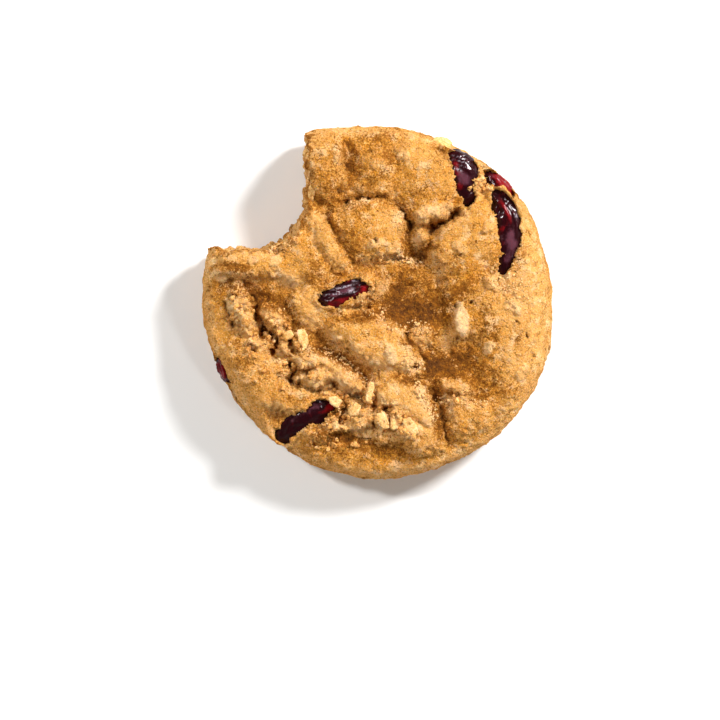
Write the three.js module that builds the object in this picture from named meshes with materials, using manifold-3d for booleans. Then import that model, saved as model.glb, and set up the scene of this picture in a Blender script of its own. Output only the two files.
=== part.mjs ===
// A soft-baked oatmeal cookie with dried cranberries and one bite taken out of it.
// Millimetres, +Z up. The cookie lies flat on its base with its craggy baked face up.
// The origin is on the base, under the middle of the round outline. The bite is in the
// corner towards -X and +Y.

import * as THREE from "three";
import { mergeVertices } from "three/addons/utils/BufferGeometryUtils.js";
import Module from "manifold-3d";

// ---------------------------------------------------------------- driving dimensions

// The round outline: a mean radius, a few slow waves that make it uneven, and one bulge by
// the upper corner of the bite.
const MEAN_RADIUS = 35.3;
const OUTLINE_WAVES = [
  { height: 0.42, towards: 72 },
  { height: 0.66, towards: -50 },
  { height: 0.2, towards: 20 },
  { height: 0.18, towards: -40 },
  { height: 0.24, towards: -31 },
];
const OUTLINE_BULGE = { height: 0.9, towards: 113, halfWidth: 9 };

// The side, seen in section: a flat base, a rounded foot, the widest line, a full shoulder.
const PLATEAU_HEIGHT = 13.4;
const WAIST_HEIGHT = 5.8;
const SHOULDER_RUN = 6.4;
const FOOT_RUN = 5.0;
const SHOULDER_FULLNESS = 2.3;

// Facet sizes of the top, of the side's height and of the flat base.
const TOP_EDGE = 1.4;
const SHOULDER_STEPS = 7;
const FOOT_STEPS = 4;
const BASE_EDGE = 5.5;

// The bite: its two straight runs and the round corner between them. The straight runs have
// only a share of the corner's taper.
const BITE_SIDE_X = -14.2;
const BITE_LOWER_Y = 10.7;
const BITE_CORNER_RADIUS = 10.5;
const BITE_REACH = 16;
const BITE_FLOOR = -3;
const BITE_CEILING = 18.4;
const BITE_LEVELS = 12;
const BITE_TAPER = 1.3;
const STRAIGHT_TAPER_SHARE = 0.45;
const BITE_OVERRUN = 2;
const TOOTH_DEPTH = 0.45;
const TOOTH_PITCH = 6.5;

// The relief's lowest level, how softly two slabs meet, and how crowned a slab is.
const RELIEF_FLOOR = -0.9;
const CREASE_BLEND = 0.35;
const SLAB_CROWN = 1.4;

// How round a crack's section is, and how much of its depth is left at its two ends, over
// what share of its length.
const CRACK_ROUNDNESS = 1.6;
const CRACK_END_DEPTH = 0.2;
const CRACK_END_SHARE = 0.12;

// How far the relief fades out towards the rim.
const RELIEF_FADE = [0.2, 4.5];

// How far the slabs' edges wander, and how rough the face, the side and the bite's wall are.
const EDGE_DRIFT = 0.45;
const FACE_GRAIN = 0.16;
const SIDE_SWELL = 0.35;
const SIDE_GRAIN = 0.16;
const WALL_GRAIN = 0.4;

// The span over which the face's slope is measured.
const SLOPE_REACH = 0.6;

// Points closer than this are one point.
const WELD_DISTANCE = 1e-4;

const DEGREE = Math.PI / 180;

// ---------------------------------------------------------------- relief of the baked face

// Slabs of dough that baked into each other. Each is a low crowned ellipse: where its middle
// is, its half length and half width, its turn, the height of its top over the plateau, the
// direction and slope of its fall, and how square its edge is.
const SLABS = [
  { at: [-10.4, 28.5], half: [8.2, 4.1], turn: 97, top: 1.2, fall: [0, 0.05], edge: 3.8 },
  { at: [-0.2, 25.2], half: [5, 5.9], turn: 0, top: 0.7, fall: [180, 0.1], edge: 3.2 },
  { at: [9.6, 25.4], half: [7, 8.2], turn: -12, top: 1.3, fall: [200, 0.05], edge: 2.6 },
  { at: [10.6, 18.2], half: [5.4, 2], turn: 14, top: 1.1, fall: [270, 0.05], edge: 2.2 },
  { at: [-2.2, 14.6], half: [8.4, 6.2], turn: -10, top: 1.1, fall: [180, 0.05], edge: 3.5 },
  { at: [-10.2, 13], half: [7.6, 3], turn: -60, top: 1.2, fall: [30, 0.05], edge: 2.4 },
  { at: [-15.6, 12.2], half: [5, 4.4], turn: 0, top: 0.7, fall: [0, 0], edge: 3 },
  { at: [-13.2, 7.6], half: [6.6, 3.6], turn: -62, top: 0.95, fall: [0, 0.02], edge: 3 },
  { at: [9.2, 13.4], half: [1.8, 2], turn: 0, top: 0.5, fall: [0, 0], edge: 2 },
  { at: [17.4, 12.6], half: [9, 6.6], turn: 62, top: 1.1, fall: [215, 0.05], edge: 3.8 },
  { at: [-0.6, -7.9], half: [11.6, 4.5], turn: -27, top: 1.7, fall: [240, 0.03], edge: 3 },
  { at: [6.4, -11.4], half: [3.6, 3.3], turn: -30, top: 1.6, fall: [0, 0.02], edge: 2.4 },
  { at: [9.2, -6], half: [3.3, 2.8], turn: 0, top: 0.3, fall: [0, 0], edge: 2.2 },
  { at: [6.3, -21.4], half: [9.4, 5], turn: -57, top: 1.8, fall: [40, 0.05], edge: 3.8 },
  { at: [17.6, -23], half: [5.8, 4.4], turn: 0, top: 0.8, fall: [250, 0.03], edge: 3.6 },
  { at: [-24.5, 7.7], half: [10.5, 3.1], turn: 2, top: 0.9, fall: [60, 0.05], edge: 3.4 },
  { at: [-16, 7.6], half: [5.5, 4.6], turn: -20, top: 0.7, fall: [0, 0], edge: 3 },
  { at: [-12.6, 0], half: [5, 5.6], turn: -20, top: 0.8, fall: [0, 0], edge: 3 },
  { at: [-27, -1], half: [6, 2.1], turn: 106, top: 0.9, fall: [0, 0.02], edge: 4.2 },
  { at: [-20.5, -2.7], half: [3.8, 2.9], turn: -35, top: 0.7, fall: [0, 0], edge: 2.4 },
  { at: [-24.4, -8.2], half: [2.8, 1.7], turn: -15, top: 0.7, fall: [0, 0], edge: 2.4 },
  { at: [-18.7, -8.8], half: [2, 1.6], turn: 0, top: 0.95, fall: [0, 0], edge: 2.2 },
  { at: [-16.2, -8.6], half: [1.1, 1.7], turn: 0, top: 0.5, fall: [0, 0], edge: 2.2 },
  { at: [-12.6, -11.6], half: [4.8, 2.2], turn: -16, top: 1.4, fall: [0, 0.03], edge: 2.6 },
  { at: [-11.2, -14.9], half: [5.2, 2.2], turn: -5, top: 1.2, fall: [0, 0.03], edge: 2.6 },
  { at: [-6.2, -15], half: [5.2, 2.4], turn: -42, top: 1.4, fall: [0, 0.04], edge: 3 },
  { at: [-26, -14.5], half: [9, 8], turn: -60, top: 0.3, fall: [0, 0], edge: 4.5 },
  { at: [-17, -19.2], half: [6, 3.6], turn: -15, top: 0.5, fall: [0, 0], edge: 3 },
  { at: [-1.7, -18.3], half: [2.4, 0.9], turn: 78, top: 1.2, fall: [0, 0], edge: 2.4 },
  { at: [-3.6, -22.6], half: [3.8, 3.1], turn: 70, top: 0.8, fall: [0, 0], edge: 2.6 },
  { at: [3, -27.2], half: [4.8, 1.8], turn: -8, top: 0.5, fall: [0, 0], edge: 2.6 },
  { at: [0.6, -23.3], half: [2.8, 1.1], turn: 112, top: 1.1, fall: [0, 0], edge: 2.6 },
  { at: [4, -23.8], half: [2.9, 1.3], turn: 80, top: 1, fall: [0, 0], edge: 2.6 },
  { at: [-8, -24.7], half: [3.4, 1.8], turn: 10, top: 0.6, fall: [0, 0], edge: 2.4 },
  { at: [-12, -26.3], half: [4, 1.6], turn: -5, top: 0.4, fall: [0, 0], edge: 2.4 },
  { at: [30, -4], half: [28, 11.5], turn: 90, top: 0, fall: [0, 0], edge: 4 },
  { at: [19.6, -0.4], half: [8.6, 6.4], turn: -50, top: 0.6, fall: [230, 0.06], edge: 3.6 },
  { at: [22.6, 4], half: [2.6, 1.5], turn: -45, top: 1, fall: [0, 0], edge: 2.4 },
  { at: [15.4, -16.9], half: [4.4, 1.7], turn: -22, top: 0.8, fall: [0, 0], edge: 2 },
  { at: [16.8, -3.2], half: [3.9, 2], turn: 98, top: 0.7, fall: [30, 0.22], edge: 3 },
];

// Broad swells and hollows added to the slabs. A negative height is a hollow.
const SWELLS = [
  { at: [30, -4], half: [9, 26], turn: 0, height: 1.2, edge: 3 },
  { at: [6.2, 0.4], half: [8.4, 6.4], turn: 0, height: -1.6, edge: 2.2 },
  { at: [13.4, -12], half: [5.8, 3.4], turn: -10, height: -1.3, edge: 2.2 },
  { at: [-5.6, 29.4], half: [1.5, 4.2], turn: 18, height: -0.8, edge: 2.4 },
  { at: [8, 9.4], half: [2, 1.7], turn: 0, height: -1.6, edge: 2.4 },
  { at: [6.4, 14.4], half: [1, 3.6], turn: -6, height: -1.3, edge: 2.4 },
  { at: [-24.4, 1.2], half: [6.6, 1.9], turn: -28, height: -1.1, edge: 2.2 },
  { at: [-10, -8.4], half: [5, 2], turn: -42, height: -0.5, edge: 2 },
  { at: [-19, -23.5], half: [4, 1.5], turn: -32, height: -0.9, edge: 2.5 },
  { at: [12.6, -20.6], half: [1.7, 7], turn: 10, height: -1.1, edge: 2.2 },
  { at: [-3.5, -2.8], half: [4, 1], turn: 6, height: -0.5, edge: 2.2 },
];

// Cracks wide enough to be cut in the solid: the way each one runs, its depth and half width.
const CRACKS = [
  { way: [[-8, 19.8], [-3, 20.8], [3, 20.6]], depth: 0.9, half: 0.7 },
  { way: [[17.2, 19], [14, 16.6], [11.5, 15.6], [10.5, 13.5]], depth: 2.2, half: 0.9 },
  { way: [[4.2, 19], [5.3, 17.2], [6.3, 15.6]], depth: 1.2, half: 0.8 },
  { way: [[-10.6, 19], [-8.8, 15], [-6.8, 11]], depth: 0.9, half: 0.7 },
  { way: [[-25, 0.5], [-24.5, -2.5], [-22.7, -3.8], [-20.4, -7], [-21.7, -10.5]], depth: 1.7, half: 0.8 },
  { way: [[-20, -7.5], [-17.2, -7.6], [-17, -9.6], [-13, -9.6]], depth: 1, half: 0.7 },
  { way: [[-12, -9.8], [-8, -11.8], [-4, -14], [-2, -15.6]], depth: 1.1, half: 0.7 },
  { way: [[-18, -11.3], [-17.2, -13.5], [-17.3, -15.5], [-15, -17]], depth: 1.3, half: 0.7 },
  { way: [[-6, -18.3], [-4.5, -18.6], [-3, -19.6], [-2.4, -21]], depth: 0.9, half: 0.7 },
  { way: [[0.6, -20.6], [2.6, -21.6], [3, -23.5], [2.9, -26]], depth: 1, half: 0.7 },
  { way: [[5.6, -5.6], [6.2, -7.4], [8.2, -9.4], [9.9, -12]], depth: 1.5, half: 0.8 },
  { way: [[-31, 0.8], [-30.1, -1.6], [-29, -5]], depth: 0.8, half: 0.7 },
];

// ---------------------------------------------------------------- cranberries

// Each dried cranberry: the two ends of its long axis, its width and thickness, how far it
// bows sideways, and the direction that its broad side faces.
const CRANBERRIES = [
  {
    name: "cranberry_upper",
    ends: [[15.2, 30.8, 11.8], [18.4, 19.2, 10.6]],
    width: 7.2, thick: 5, bow: 0.6, faces: [0, 0, 1],
  },
  {
    name: "cranberry_rim",
    ends: [[20.7, 26.4, 8.4], [27.4, 20.8, 7.6]],
    width: 4.4, thick: 4, bow: 0.3, faces: [0.62, 0.56, 0.55],
  },
  {
    name: "cranberry_right",
    ends: [[24.5, 23.4, 12], [25.9, 5.3, 11.6]],
    width: 6.2, thick: 4.6, bow: 2, faces: [0, 0, 1],
  },
  {
    name: "cranberry_centre",
    ends: [[-12.3, 0.2, 12.7], [-1.2, 3.6, 12.5]],
    width: 5.2, thick: 4.6, bow: -0.6, faces: [0, 0, 1],
  },
  {
    name: "cranberry_left",
    ends: [[-31.6, -9.8, 7.4], [-28.6, -16.2, 7]],
    width: 5.4, thick: 4.4, bow: 0.3, faces: [-0.86, -0.4, 0.3],
  },
  {
    name: "cranberry_lower",
    ends: [[-8.4, -20, 11.6], [-21, -27.2, 9.3]],
    width: 6.6, thick: 5, bow: -0.6, faces: [-0.18, -0.3, 0.94],
  },
];
const BERRY_DETAIL = 3;
const BERRY_BLUNTNESS = 0.85;
const BERRY_FOLDS = 5;
const BERRY_FOLD_DEPTH = 0.13;
const BERRY_FOLD_WANDER = 0.9;
const BERRY_DENT_DEPTH = 0.05;

// The gap kept between the dough and each cranberry, and the window in the crust that the
// berry shows through: its share of the berry's plan, and how far up it is cut.
const BERRY_GAP = 0.36;
const WINDOW_SHARE = 0.83;
const WINDOW_RISE = 7;

// ---------------------------------------------------------------- oat flakes

// The flakes that show most on the face: middle, length, width and turn.
const SHOWN_FLAKES = [
  { at: [16.8, -3.2], length: 7.0, width: 3.1, turn: 98 },
  { at: [-15, -7.1], length: 4.6, width: 2.4, turn: 98 },
  { at: [12.9, 32.2], length: 5.0, width: 2.8, turn: -22 },
  { at: [22.3, -8.8], length: 3.2, width: 2.1, turn: 52 },
  { at: [2.6, -10.2], length: 4.6, width: 2.4, turn: 108 },
  { at: [-31.6, 5.5], length: 3.4, width: 2.0, turn: 140 },
  { at: [16.4, 11], length: 3.6, width: 2.4, turn: 130 },
  { at: [1.4, -23.4], length: 3.8, width: 1.8, turn: 112 },
  { at: [4, -23.6], length: 5.0, width: 2.2, turn: 84 },
  { at: [6.6, -24.4], length: 4.6, width: 1.9, turn: 128 },
  { at: [-1.6, -17.8], length: 4.4, width: 1.6, turn: 76 },
  { at: [-20.4, 8.4], length: 3.0, width: 2.2, turn: 60 },
  { at: [2.9, 11.2], length: 3.4, width: 2.2, turn: -30 },
  { at: [0, 27.6], length: 3.6, width: 2.4, turn: 10 },
  { at: [27, -1], length: 4.2, width: 2.1, turn: 150 },
  { at: [18, -17.6], length: 3.6, width: 2.2, turn: -30 },
];

// A flake's thickness in its middle, the share of it at its rim, how uneven its outline is,
// and how far it tilts off the slope that it lies on.
const FLAKE_THICKNESS = 0.7;
const FLAKE_RIM_SHARE = 0.6;
const FLAKE_UNEVENNESS = 0.3;
const FLAKE_TILT = 0.2;
const FLAKE_SIDES = 8;

// Further flakes, spread over the face: how many, how long, how wide for their length, and
// how far they keep from the bite, the rim and the berries.
const SPREAD_FLAKES = 14;
const FLAKE_LENGTHS = [2.6, 4.6];
const FLAKE_WIDTH_SHARES = [0.5, 0.7];
const FLAKE_CLEARANCE = 1.2;
const RIM_CLEARANCE = 2.2;

// ---------------------------------------------------------------- looks

const DOUGH = { color: 0xd9994c, roughness: 0.82, metalness: 0 };
const CRANBERRY = { color: 0x4d161b, roughness: 0.32, metalness: 0 };

// ---------------------------------------------------------------- small helpers

function seededRandom(seed) {
  let state = seed >>> 0;
  return () => {
    state = (Math.imul(state, 1664525) + 1013904223) >>> 0;
    return state / 4294967296;
  };
}

function smoothStep(low, high, value) {
  const t = THREE.MathUtils.clamp((value - low) / (high - low), 0, 1);
  return t * t * (3 - 2 * t);
}

// A smooth uneven field made of a few waves in random directions, about -1 to 1.
function makeUnevenness(seed, wavelength, waves = 7) {
  const random = seededRandom(seed);
  const parts = [];
  for (let i = 0; i < waves; i += 1) {
    const azimuth = random() * 2 * Math.PI;
    const lift = 2 * random() - 1;
    const flat = Math.sqrt(1 - lift * lift);
    const pace = (2 * Math.PI) / (wavelength * (0.7 + 0.6 * random()));
    parts.push({
      x: pace * Math.cos(azimuth) * flat,
      y: pace * Math.sin(azimuth) * flat,
      z: pace * lift,
      phase: random() * 2 * Math.PI,
    });
  }
  return (x, y, z) => {
    let sum = 0;
    for (const part of parts) {
      sum += Math.sin(part.x * x + part.y * y + part.z * z + part.phase);
    }
    return sum / Math.sqrt(waves * 2);
  };
}

// The place of a point in the frame of a turned ellipse, in half lengths and half widths.
function ellipsePlace(x, y, shape) {
  const cos = Math.cos(shape.turn * DEGREE);
  const sin = Math.sin(shape.turn * DEGREE);
  const dx = x - shape.at[0];
  const dy = y - shape.at[1];
  const along = (dx * cos + dy * sin) / shape.half[0];
  const across = (dy * cos - dx * sin) / shape.half[1];
  return Math.pow(along * along + across * across, shape.edge / 2);
}

// The distance from a point to a crack's way, and how far along it the nearest place is.
function nearestOnWay(x, y, way) {
  let distance = Infinity;
  let share = 0;
  for (let i = 0; i < way.length - 1; i += 1) {
    const [ax, ay] = way[i];
    const dx = way[i + 1][0] - ax;
    const dy = way[i + 1][1] - ay;
    const t = THREE.MathUtils.clamp(((x - ax) * dx + (y - ay) * dy) / (dx * dx + dy * dy), 0, 1);
    const gap = Math.hypot(x - ax - t * dx, y - ay - t * dy);
    if (gap < distance) {
      distance = gap;
      share = (i + t) / (way.length - 1);
    }
  }
  return { distance, share };
}

// ---------------------------------------------------------------- the dough's surface

const driftX = makeUnevenness(11, 6.5);
const driftY = makeUnevenness(12, 6.5);
const faceGrain = makeUnevenness(13, 3.6, 9);
const sideSwell = makeUnevenness(14, 14);
const sideGrain = makeUnevenness(15, 4.5, 9);

function outlineRadius(angle) {
  let radius = MEAN_RADIUS;
  OUTLINE_WAVES.forEach((wave, index) => {
    radius += wave.height * Math.cos((index + 1) * (angle - wave.towards * DEGREE));
  });
  const away = THREE.MathUtils.euclideanModulo(angle / DEGREE - OUTLINE_BULGE.towards + 180, 360) - 180;
  return radius + OUTLINE_BULGE.height * Math.exp(-((away / OUTLINE_BULGE.halfWidth) ** 2));
}

// The height of the face's relief over the plateau, at any place in plan.
function relief(x, y) {
  const px = x + EDGE_DRIFT * driftX(x, y, 0);
  const py = y + EDGE_DRIFT * driftY(x, y, 0);
  let height = RELIEF_FLOOR;
  for (const slab of SLABS) {
    const [direction, slope] = slab.fall;
    const runX = (px - slab.at[0]) * Math.cos(direction * DEGREE);
    const runY = (py - slab.at[1]) * Math.sin(direction * DEGREE);
    const crown = slab.top - SLAB_CROWN * ellipsePlace(px, py, slab) - slope * (runX + runY);
    const blend = Math.max(CREASE_BLEND - Math.abs(height - crown), 0);
    height = Math.max(height, crown) + (blend * blend) / (4 * CREASE_BLEND);
  }
  for (const swell of SWELLS) {
    height += swell.height * Math.exp(-ellipsePlace(px, py, swell));
  }
  for (const crack of CRACKS) {
    const { distance, share } = nearestOnWay(px, py, crack.way);
    const inner = smoothStep(0, CRACK_END_SHARE, share) * smoothStep(0, CRACK_END_SHARE, 1 - share);
    const depth = crack.depth * (CRACK_END_DEPTH + (1 - CRACK_END_DEPTH) * inner);
    height -= depth * Math.exp(-Math.pow(distance / crack.half, CRACK_ROUNDNESS));
  }
  return height + FACE_GRAIN * faceGrain(x, y, 0);
}

// The height of the plain rounded slab, by how far a place lies inside the outline.
function slabHeight(inset) {
  const t = THREE.MathUtils.clamp(1 - inset / SHOULDER_RUN, 0, 1);
  const rise = Math.pow(1 - Math.pow(t, SHOULDER_FULLNESS), 1 / SHOULDER_FULLNESS);
  return WAIST_HEIGHT + (PLATEAU_HEIGHT - WAIST_HEIGHT) * rise;
}

function reliefShare(inset) {
  return smoothStep(RELIEF_FADE[0], RELIEF_FADE[1], inset);
}

function surfaceHeight(x, y) {
  const inset = outlineRadius(Math.atan2(y, x)) - Math.hypot(x, y);
  return slabHeight(inset) + relief(x, y) * reliefShare(inset);
}

function surfaceNormal(x, y) {
  const riseX = surfaceHeight(x + SLOPE_REACH, y) - surfaceHeight(x - SLOPE_REACH, y);
  const riseY = surfaceHeight(x, y + SLOPE_REACH) - surfaceHeight(x, y - SLOPE_REACH);
  return new THREE.Vector3(-riseX, -riseY, 2 * SLOPE_REACH).normalize();
}

// How far the side stands out of the plain outline.
function sideRelief(x, y, z) {
  return SIDE_SWELL * sideSwell(x, y, z) + SIDE_GRAIN * sideGrain(x, y, z);
}

// ---------------------------------------------------------------- meshes

// A closed skin from rings of points, each ring running anticlockwise seen from above, in
// order from the middle of the top, over the side, to the middle of the base. Neighbouring
// rings may hold different numbers of points.
function skinOverRings(topMiddle, rings, baseMiddle) {
  const positions = [...topMiddle];
  const starts = [];
  for (const ring of rings) {
    starts.push(positions.length / 3);
    for (const point of ring) {
      positions.push(...point);
    }
  }
  const last = positions.length / 3;
  positions.push(...baseMiddle);
  const faces = [];
  const firstCount = rings[0].length;
  for (let i = 0; i < firstCount; i += 1) {
    faces.push(0, starts[0] + i, starts[0] + ((i + 1) % firstCount));
  }
  for (let k = 0; k < rings.length - 1; k += 1) {
    zipRings(faces, starts[k], rings[k].length, starts[k + 1], rings[k + 1].length);
  }
  const lastCount = rings[rings.length - 1].length;
  const lastStart = starts[rings.length - 1];
  for (let i = 0; i < lastCount; i += 1) {
    faces.push(last, lastStart + ((i + 1) % lastCount), lastStart + i);
  }
  const geometry = new THREE.BufferGeometry();
  geometry.setAttribute("position", new THREE.Float32BufferAttribute(positions, 3));
  geometry.setIndex(faces);
  return geometry;
}

// Joins two rings with one band of triangles, stepping along whichever ring lags behind.
function zipRings(faces, innerStart, innerCount, outerStart, outerCount) {
  let inner = 0;
  let outer = 0;
  while (inner < innerCount || outer < outerCount) {
    const a = innerStart + (inner % innerCount);
    const b = outerStart + (outer % outerCount);
    const innerNext = (inner + 1) / innerCount;
    const outerNext = (outer + 1) / outerCount;
    if (outer >= outerCount || (inner < innerCount && innerNext < outerNext)) {
      faces.push(a, b, innerStart + ((inner + 1) % innerCount));
      inner += 1;
    } else {
      faces.push(a, b, outerStart + ((outer + 1) % outerCount));
      outer += 1;
    }
  }
}

// How many points a ring takes to have edges of about the given length.
function ringCount(radius, edge) {
  return Math.max(6, Math.round((2 * Math.PI * radius) / edge));
}

function ringOf(count, place) {
  const ring = [];
  for (let i = 0; i < count; i += 1) {
    ring.push(place((2 * Math.PI * i) / count));
  }
  return ring;
}

// The whole round cookie before anything is bitten off or pressed in.
function roundDough() {
  const rings = [];
  const facePoint = (angle, radius) => {
    const x = radius * Math.cos(angle);
    const y = radius * Math.sin(angle);
    return [x, y, surfaceHeight(x, y)];
  };
  const plateauRadius = MEAN_RADIUS - SHOULDER_RUN;
  const plateauSteps = Math.round(plateauRadius / TOP_EDGE);
  for (let i = 1; i <= plateauSteps; i += 1) {
    const share = i / plateauSteps;
    const count = ringCount(share * plateauRadius, TOP_EDGE);
    rings.push(ringOf(count, (angle) => facePoint(angle, share * (outlineRadius(angle) - SHOULDER_RUN))));
  }
  const rimCount = ringCount(MEAN_RADIUS, TOP_EDGE);
  for (let i = 1; i <= SHOULDER_STEPS; i += 1) {
    const climb = (Math.PI / 2) * (1 - i / SHOULDER_STEPS);
    const run = Math.pow(Math.cos(climb), 2 / SHOULDER_FULLNESS);
    const rise = Math.pow(Math.sin(climb), 2 / SHOULDER_FULLNESS);
    rings.push(ringOf(rimCount, (angle) => {
      const inset = SHOULDER_RUN * (1 - run);
      const radius = outlineRadius(angle) - inset;
      const x = radius * Math.cos(angle);
      const y = radius * Math.sin(angle);
      const plain = WAIST_HEIGHT + (PLATEAU_HEIGHT - WAIST_HEIGHT) * rise;
      const z = plain + relief(x, y) * reliefShare(inset);
      const out = 1 + (run * sideRelief(x, y, z)) / radius;
      return [x * out, y * out, z];
    }));
  }
  for (let i = 1; i <= FOOT_STEPS; i += 1) {
    const drop = (Math.PI / 2) * (i / FOOT_STEPS);
    rings.push(ringOf(rimCount, (angle) => {
      const radius = outlineRadius(angle) - FOOT_RUN * (1 - Math.cos(drop));
      const x = radius * Math.cos(angle);
      const y = radius * Math.sin(angle);
      const z = WAIST_HEIGHT * (1 - Math.sin(drop));
      const out = 1 + (Math.cos(drop) * sideRelief(x, y, z)) / radius;
      return [x * out, y * out, z];
    }));
  }
  const baseRadius = MEAN_RADIUS - FOOT_RUN;
  const baseSteps = Math.round(baseRadius / BASE_EDGE);
  for (let i = baseSteps - 1; i >= 1; i -= 1) {
    const share = i / baseSteps;
    rings.push(ringOf(ringCount(share * baseRadius, BASE_EDGE), (angle) => {
      const radius = share * (outlineRadius(angle) - FOOT_RUN);
      return [radius * Math.cos(angle), radius * Math.sin(angle), 0];
    }));
  }
  return skinOverRings([0, 0, surfaceHeight(0, 0)], rings, [0, 0, 0]);
}

// What the bite took: an upright block with a round corner, slightly wider at the face, with
// shallow tooth marks and a crumbly wall.
function biteBlock() {
  const far = -(MEAN_RADIUS + BITE_REACH);
  const cornerX = BITE_SIDE_X - BITE_CORNER_RADIUS;
  const cornerY = BITE_LOWER_Y + BITE_CORNER_RADIUS;
  const outline = [new THREE.Vector2(far, -far), new THREE.Vector2(far, BITE_LOWER_Y)];
  const runStart = far + BITE_REACH;
  const runSteps = Math.round((cornerX - runStart) / TOP_EDGE);
  for (let i = 0; i < runSteps; i += 1) {
    const x = THREE.MathUtils.lerp(runStart, cornerX, i / runSteps);
    outline.push(new THREE.Vector2(x, BITE_LOWER_Y));
  }
  const arcSteps = Math.round((BITE_CORNER_RADIUS * Math.PI) / 2 / TOP_EDGE);
  for (let i = 0; i <= arcSteps; i += 1) {
    const angle = -Math.PI / 2 + (Math.PI / 2) * (i / arcSteps);
    outline.push(new THREE.Vector2(
      cornerX + BITE_CORNER_RADIUS * Math.cos(angle),
      cornerY + BITE_CORNER_RADIUS * Math.sin(angle),
    ));
  }
  const sideSteps = Math.round((MEAN_RADIUS - cornerY + BITE_OVERRUN) / TOP_EDGE);
  for (let i = 1; i <= sideSteps; i += 1) {
    outline.push(new THREE.Vector2(BITE_SIDE_X, cornerY + TOP_EDGE * i));
  }
  outline.push(new THREE.Vector2(BITE_SIDE_X, -far));
  const block = new THREE.ExtrudeGeometry(new THREE.Shape(outline), {
    depth: BITE_CEILING - BITE_FLOOR,
    steps: BITE_LEVELS,
    bevelEnabled: false,
  });
  block.translate(0, 0, BITE_FLOOR);
  const wall = makeUnevenness(21, 3.4, 9);
  const place = block.attributes.position;
  for (let i = 0; i < place.count; i += 1) {
    const x = place.getX(i);
    const y = place.getY(i);
    const z = place.getZ(i);
    const out = new THREE.Vector2(x - cornerX, y - cornerY);
    const onWall = x > far + 1 && y < -far - 1;
    if (onWall) {
      const normal = new THREE.Vector2(Math.max(out.x, 0), Math.min(out.y, 0)).normalize();
      const turn = Math.atan2(normal.y, normal.x);
      const along = turn * BITE_CORNER_RADIUS + Math.min(out.x, 0) + Math.max(out.y, 0);
      const tooth = TOOTH_DEPTH * Math.abs(Math.sin((Math.PI * along) / TOOTH_PITCH));
      const roundness = Math.sin(2 * THREE.MathUtils.clamp(-turn, 0, Math.PI / 2));
      const climb = z / PLATEAU_HEIGHT - 0.5;
      const taper = BITE_TAPER * (STRAIGHT_TAPER_SHARE + roundness) * climb;
      const shift = taper - tooth + WALL_GRAIN * wall(x, y, z);
      place.setX(i, x + normal.x * shift);
      place.setY(i, y + normal.y * shift);
    }
  }
  return block;
}

// One dried cranberry, along X and facing +Z: a wrinkled, bowed, flattened bead.
function cranberryGeometry(berry, seed) {
  const [start, end] = berry.ends.map((place) => new THREE.Vector3(...place));
  const length = start.distanceTo(end);
  const geometry = weld(new THREE.IcosahedronGeometry(1, BERRY_DETAIL));
  const place = geometry.attributes.position;
  const wander = makeUnevenness(seed, 1.1, 6);
  const dents = makeUnevenness(seed + 40, 0.8, 6);
  for (let i = 0; i < place.count; i += 1) {
    const x = place.getX(i);
    const y = place.getY(i);
    const z = place.getZ(i);
    const around = Math.atan2(z, y) + BERRY_FOLD_WANDER * wander(x, y, z);
    const middle = Math.sqrt(Math.max(1 - x * x, 0));
    const crease = middle * (0.5 + 0.5 * Math.sin(BERRY_FOLDS * around));
    const fold = 1 - BERRY_FOLD_DEPTH * crease + BERRY_DENT_DEPTH * dents(x, y, z);
    const blunt = Math.sign(x) * Math.pow(Math.abs(x), BERRY_BLUNTNESS);
    place.setXYZ(
      i,
      (length / 2) * blunt,
      (berry.width / 2) * y * fold + berry.bow * (1 - x * x) - berry.bow / 2,
      (berry.thick / 2) * z * fold,
    );
  }
  return geometry;
}

// Lays a geometry's X axis along the berry and its Z axis towards the side it faces.
function berryPlacement(berry) {
  const start = new THREE.Vector3(...berry.ends[0]);
  const end = new THREE.Vector3(...berry.ends[1]);
  const along = end.clone().sub(start).normalize();
  const across = new THREE.Vector3(...berry.faces).cross(along).normalize();
  const up = along.clone().cross(across);
  const matrix = new THREE.Matrix4().makeBasis(along, across, up);
  matrix.setPosition(start.add(end).multiplyScalar(0.5));
  return matrix;
}

// A thin irregular oval with both faces slightly raised in the middle.
function oatFlake(length, width, random) {
  const positions = [0, 0, FLAKE_THICKNESS / 2, 0, 0, -FLAKE_THICKNESS / 2];
  const rim = (FLAKE_RIM_SHARE * FLAKE_THICKNESS) / 2;
  for (let i = 0; i < FLAKE_SIDES; i += 1) {
    const angle = (2 * Math.PI * i) / FLAKE_SIDES;
    const uneven = 1 + FLAKE_UNEVENNESS * (random() - 0.5);
    const x = (length / 2) * uneven * Math.cos(angle);
    const y = (width / 2) * uneven * Math.sin(angle);
    positions.push(x, y, rim, x, y, -rim);
  }
  const faces = [];
  for (let i = 0; i < FLAKE_SIDES; i += 1) {
    const top = 2 + 2 * i;
    const nextTop = 2 + 2 * ((i + 1) % FLAKE_SIDES);
    faces.push(0, top, nextTop);
    faces.push(1, nextTop + 1, top + 1);
    faces.push(top, top + 1, nextTop + 1);
    faces.push(top, nextTop + 1, nextTop);
  }
  const geometry = new THREE.BufferGeometry();
  geometry.setAttribute("position", new THREE.Float32BufferAttribute(positions, 3));
  geometry.setIndex(faces);
  return geometry;
}

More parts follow.
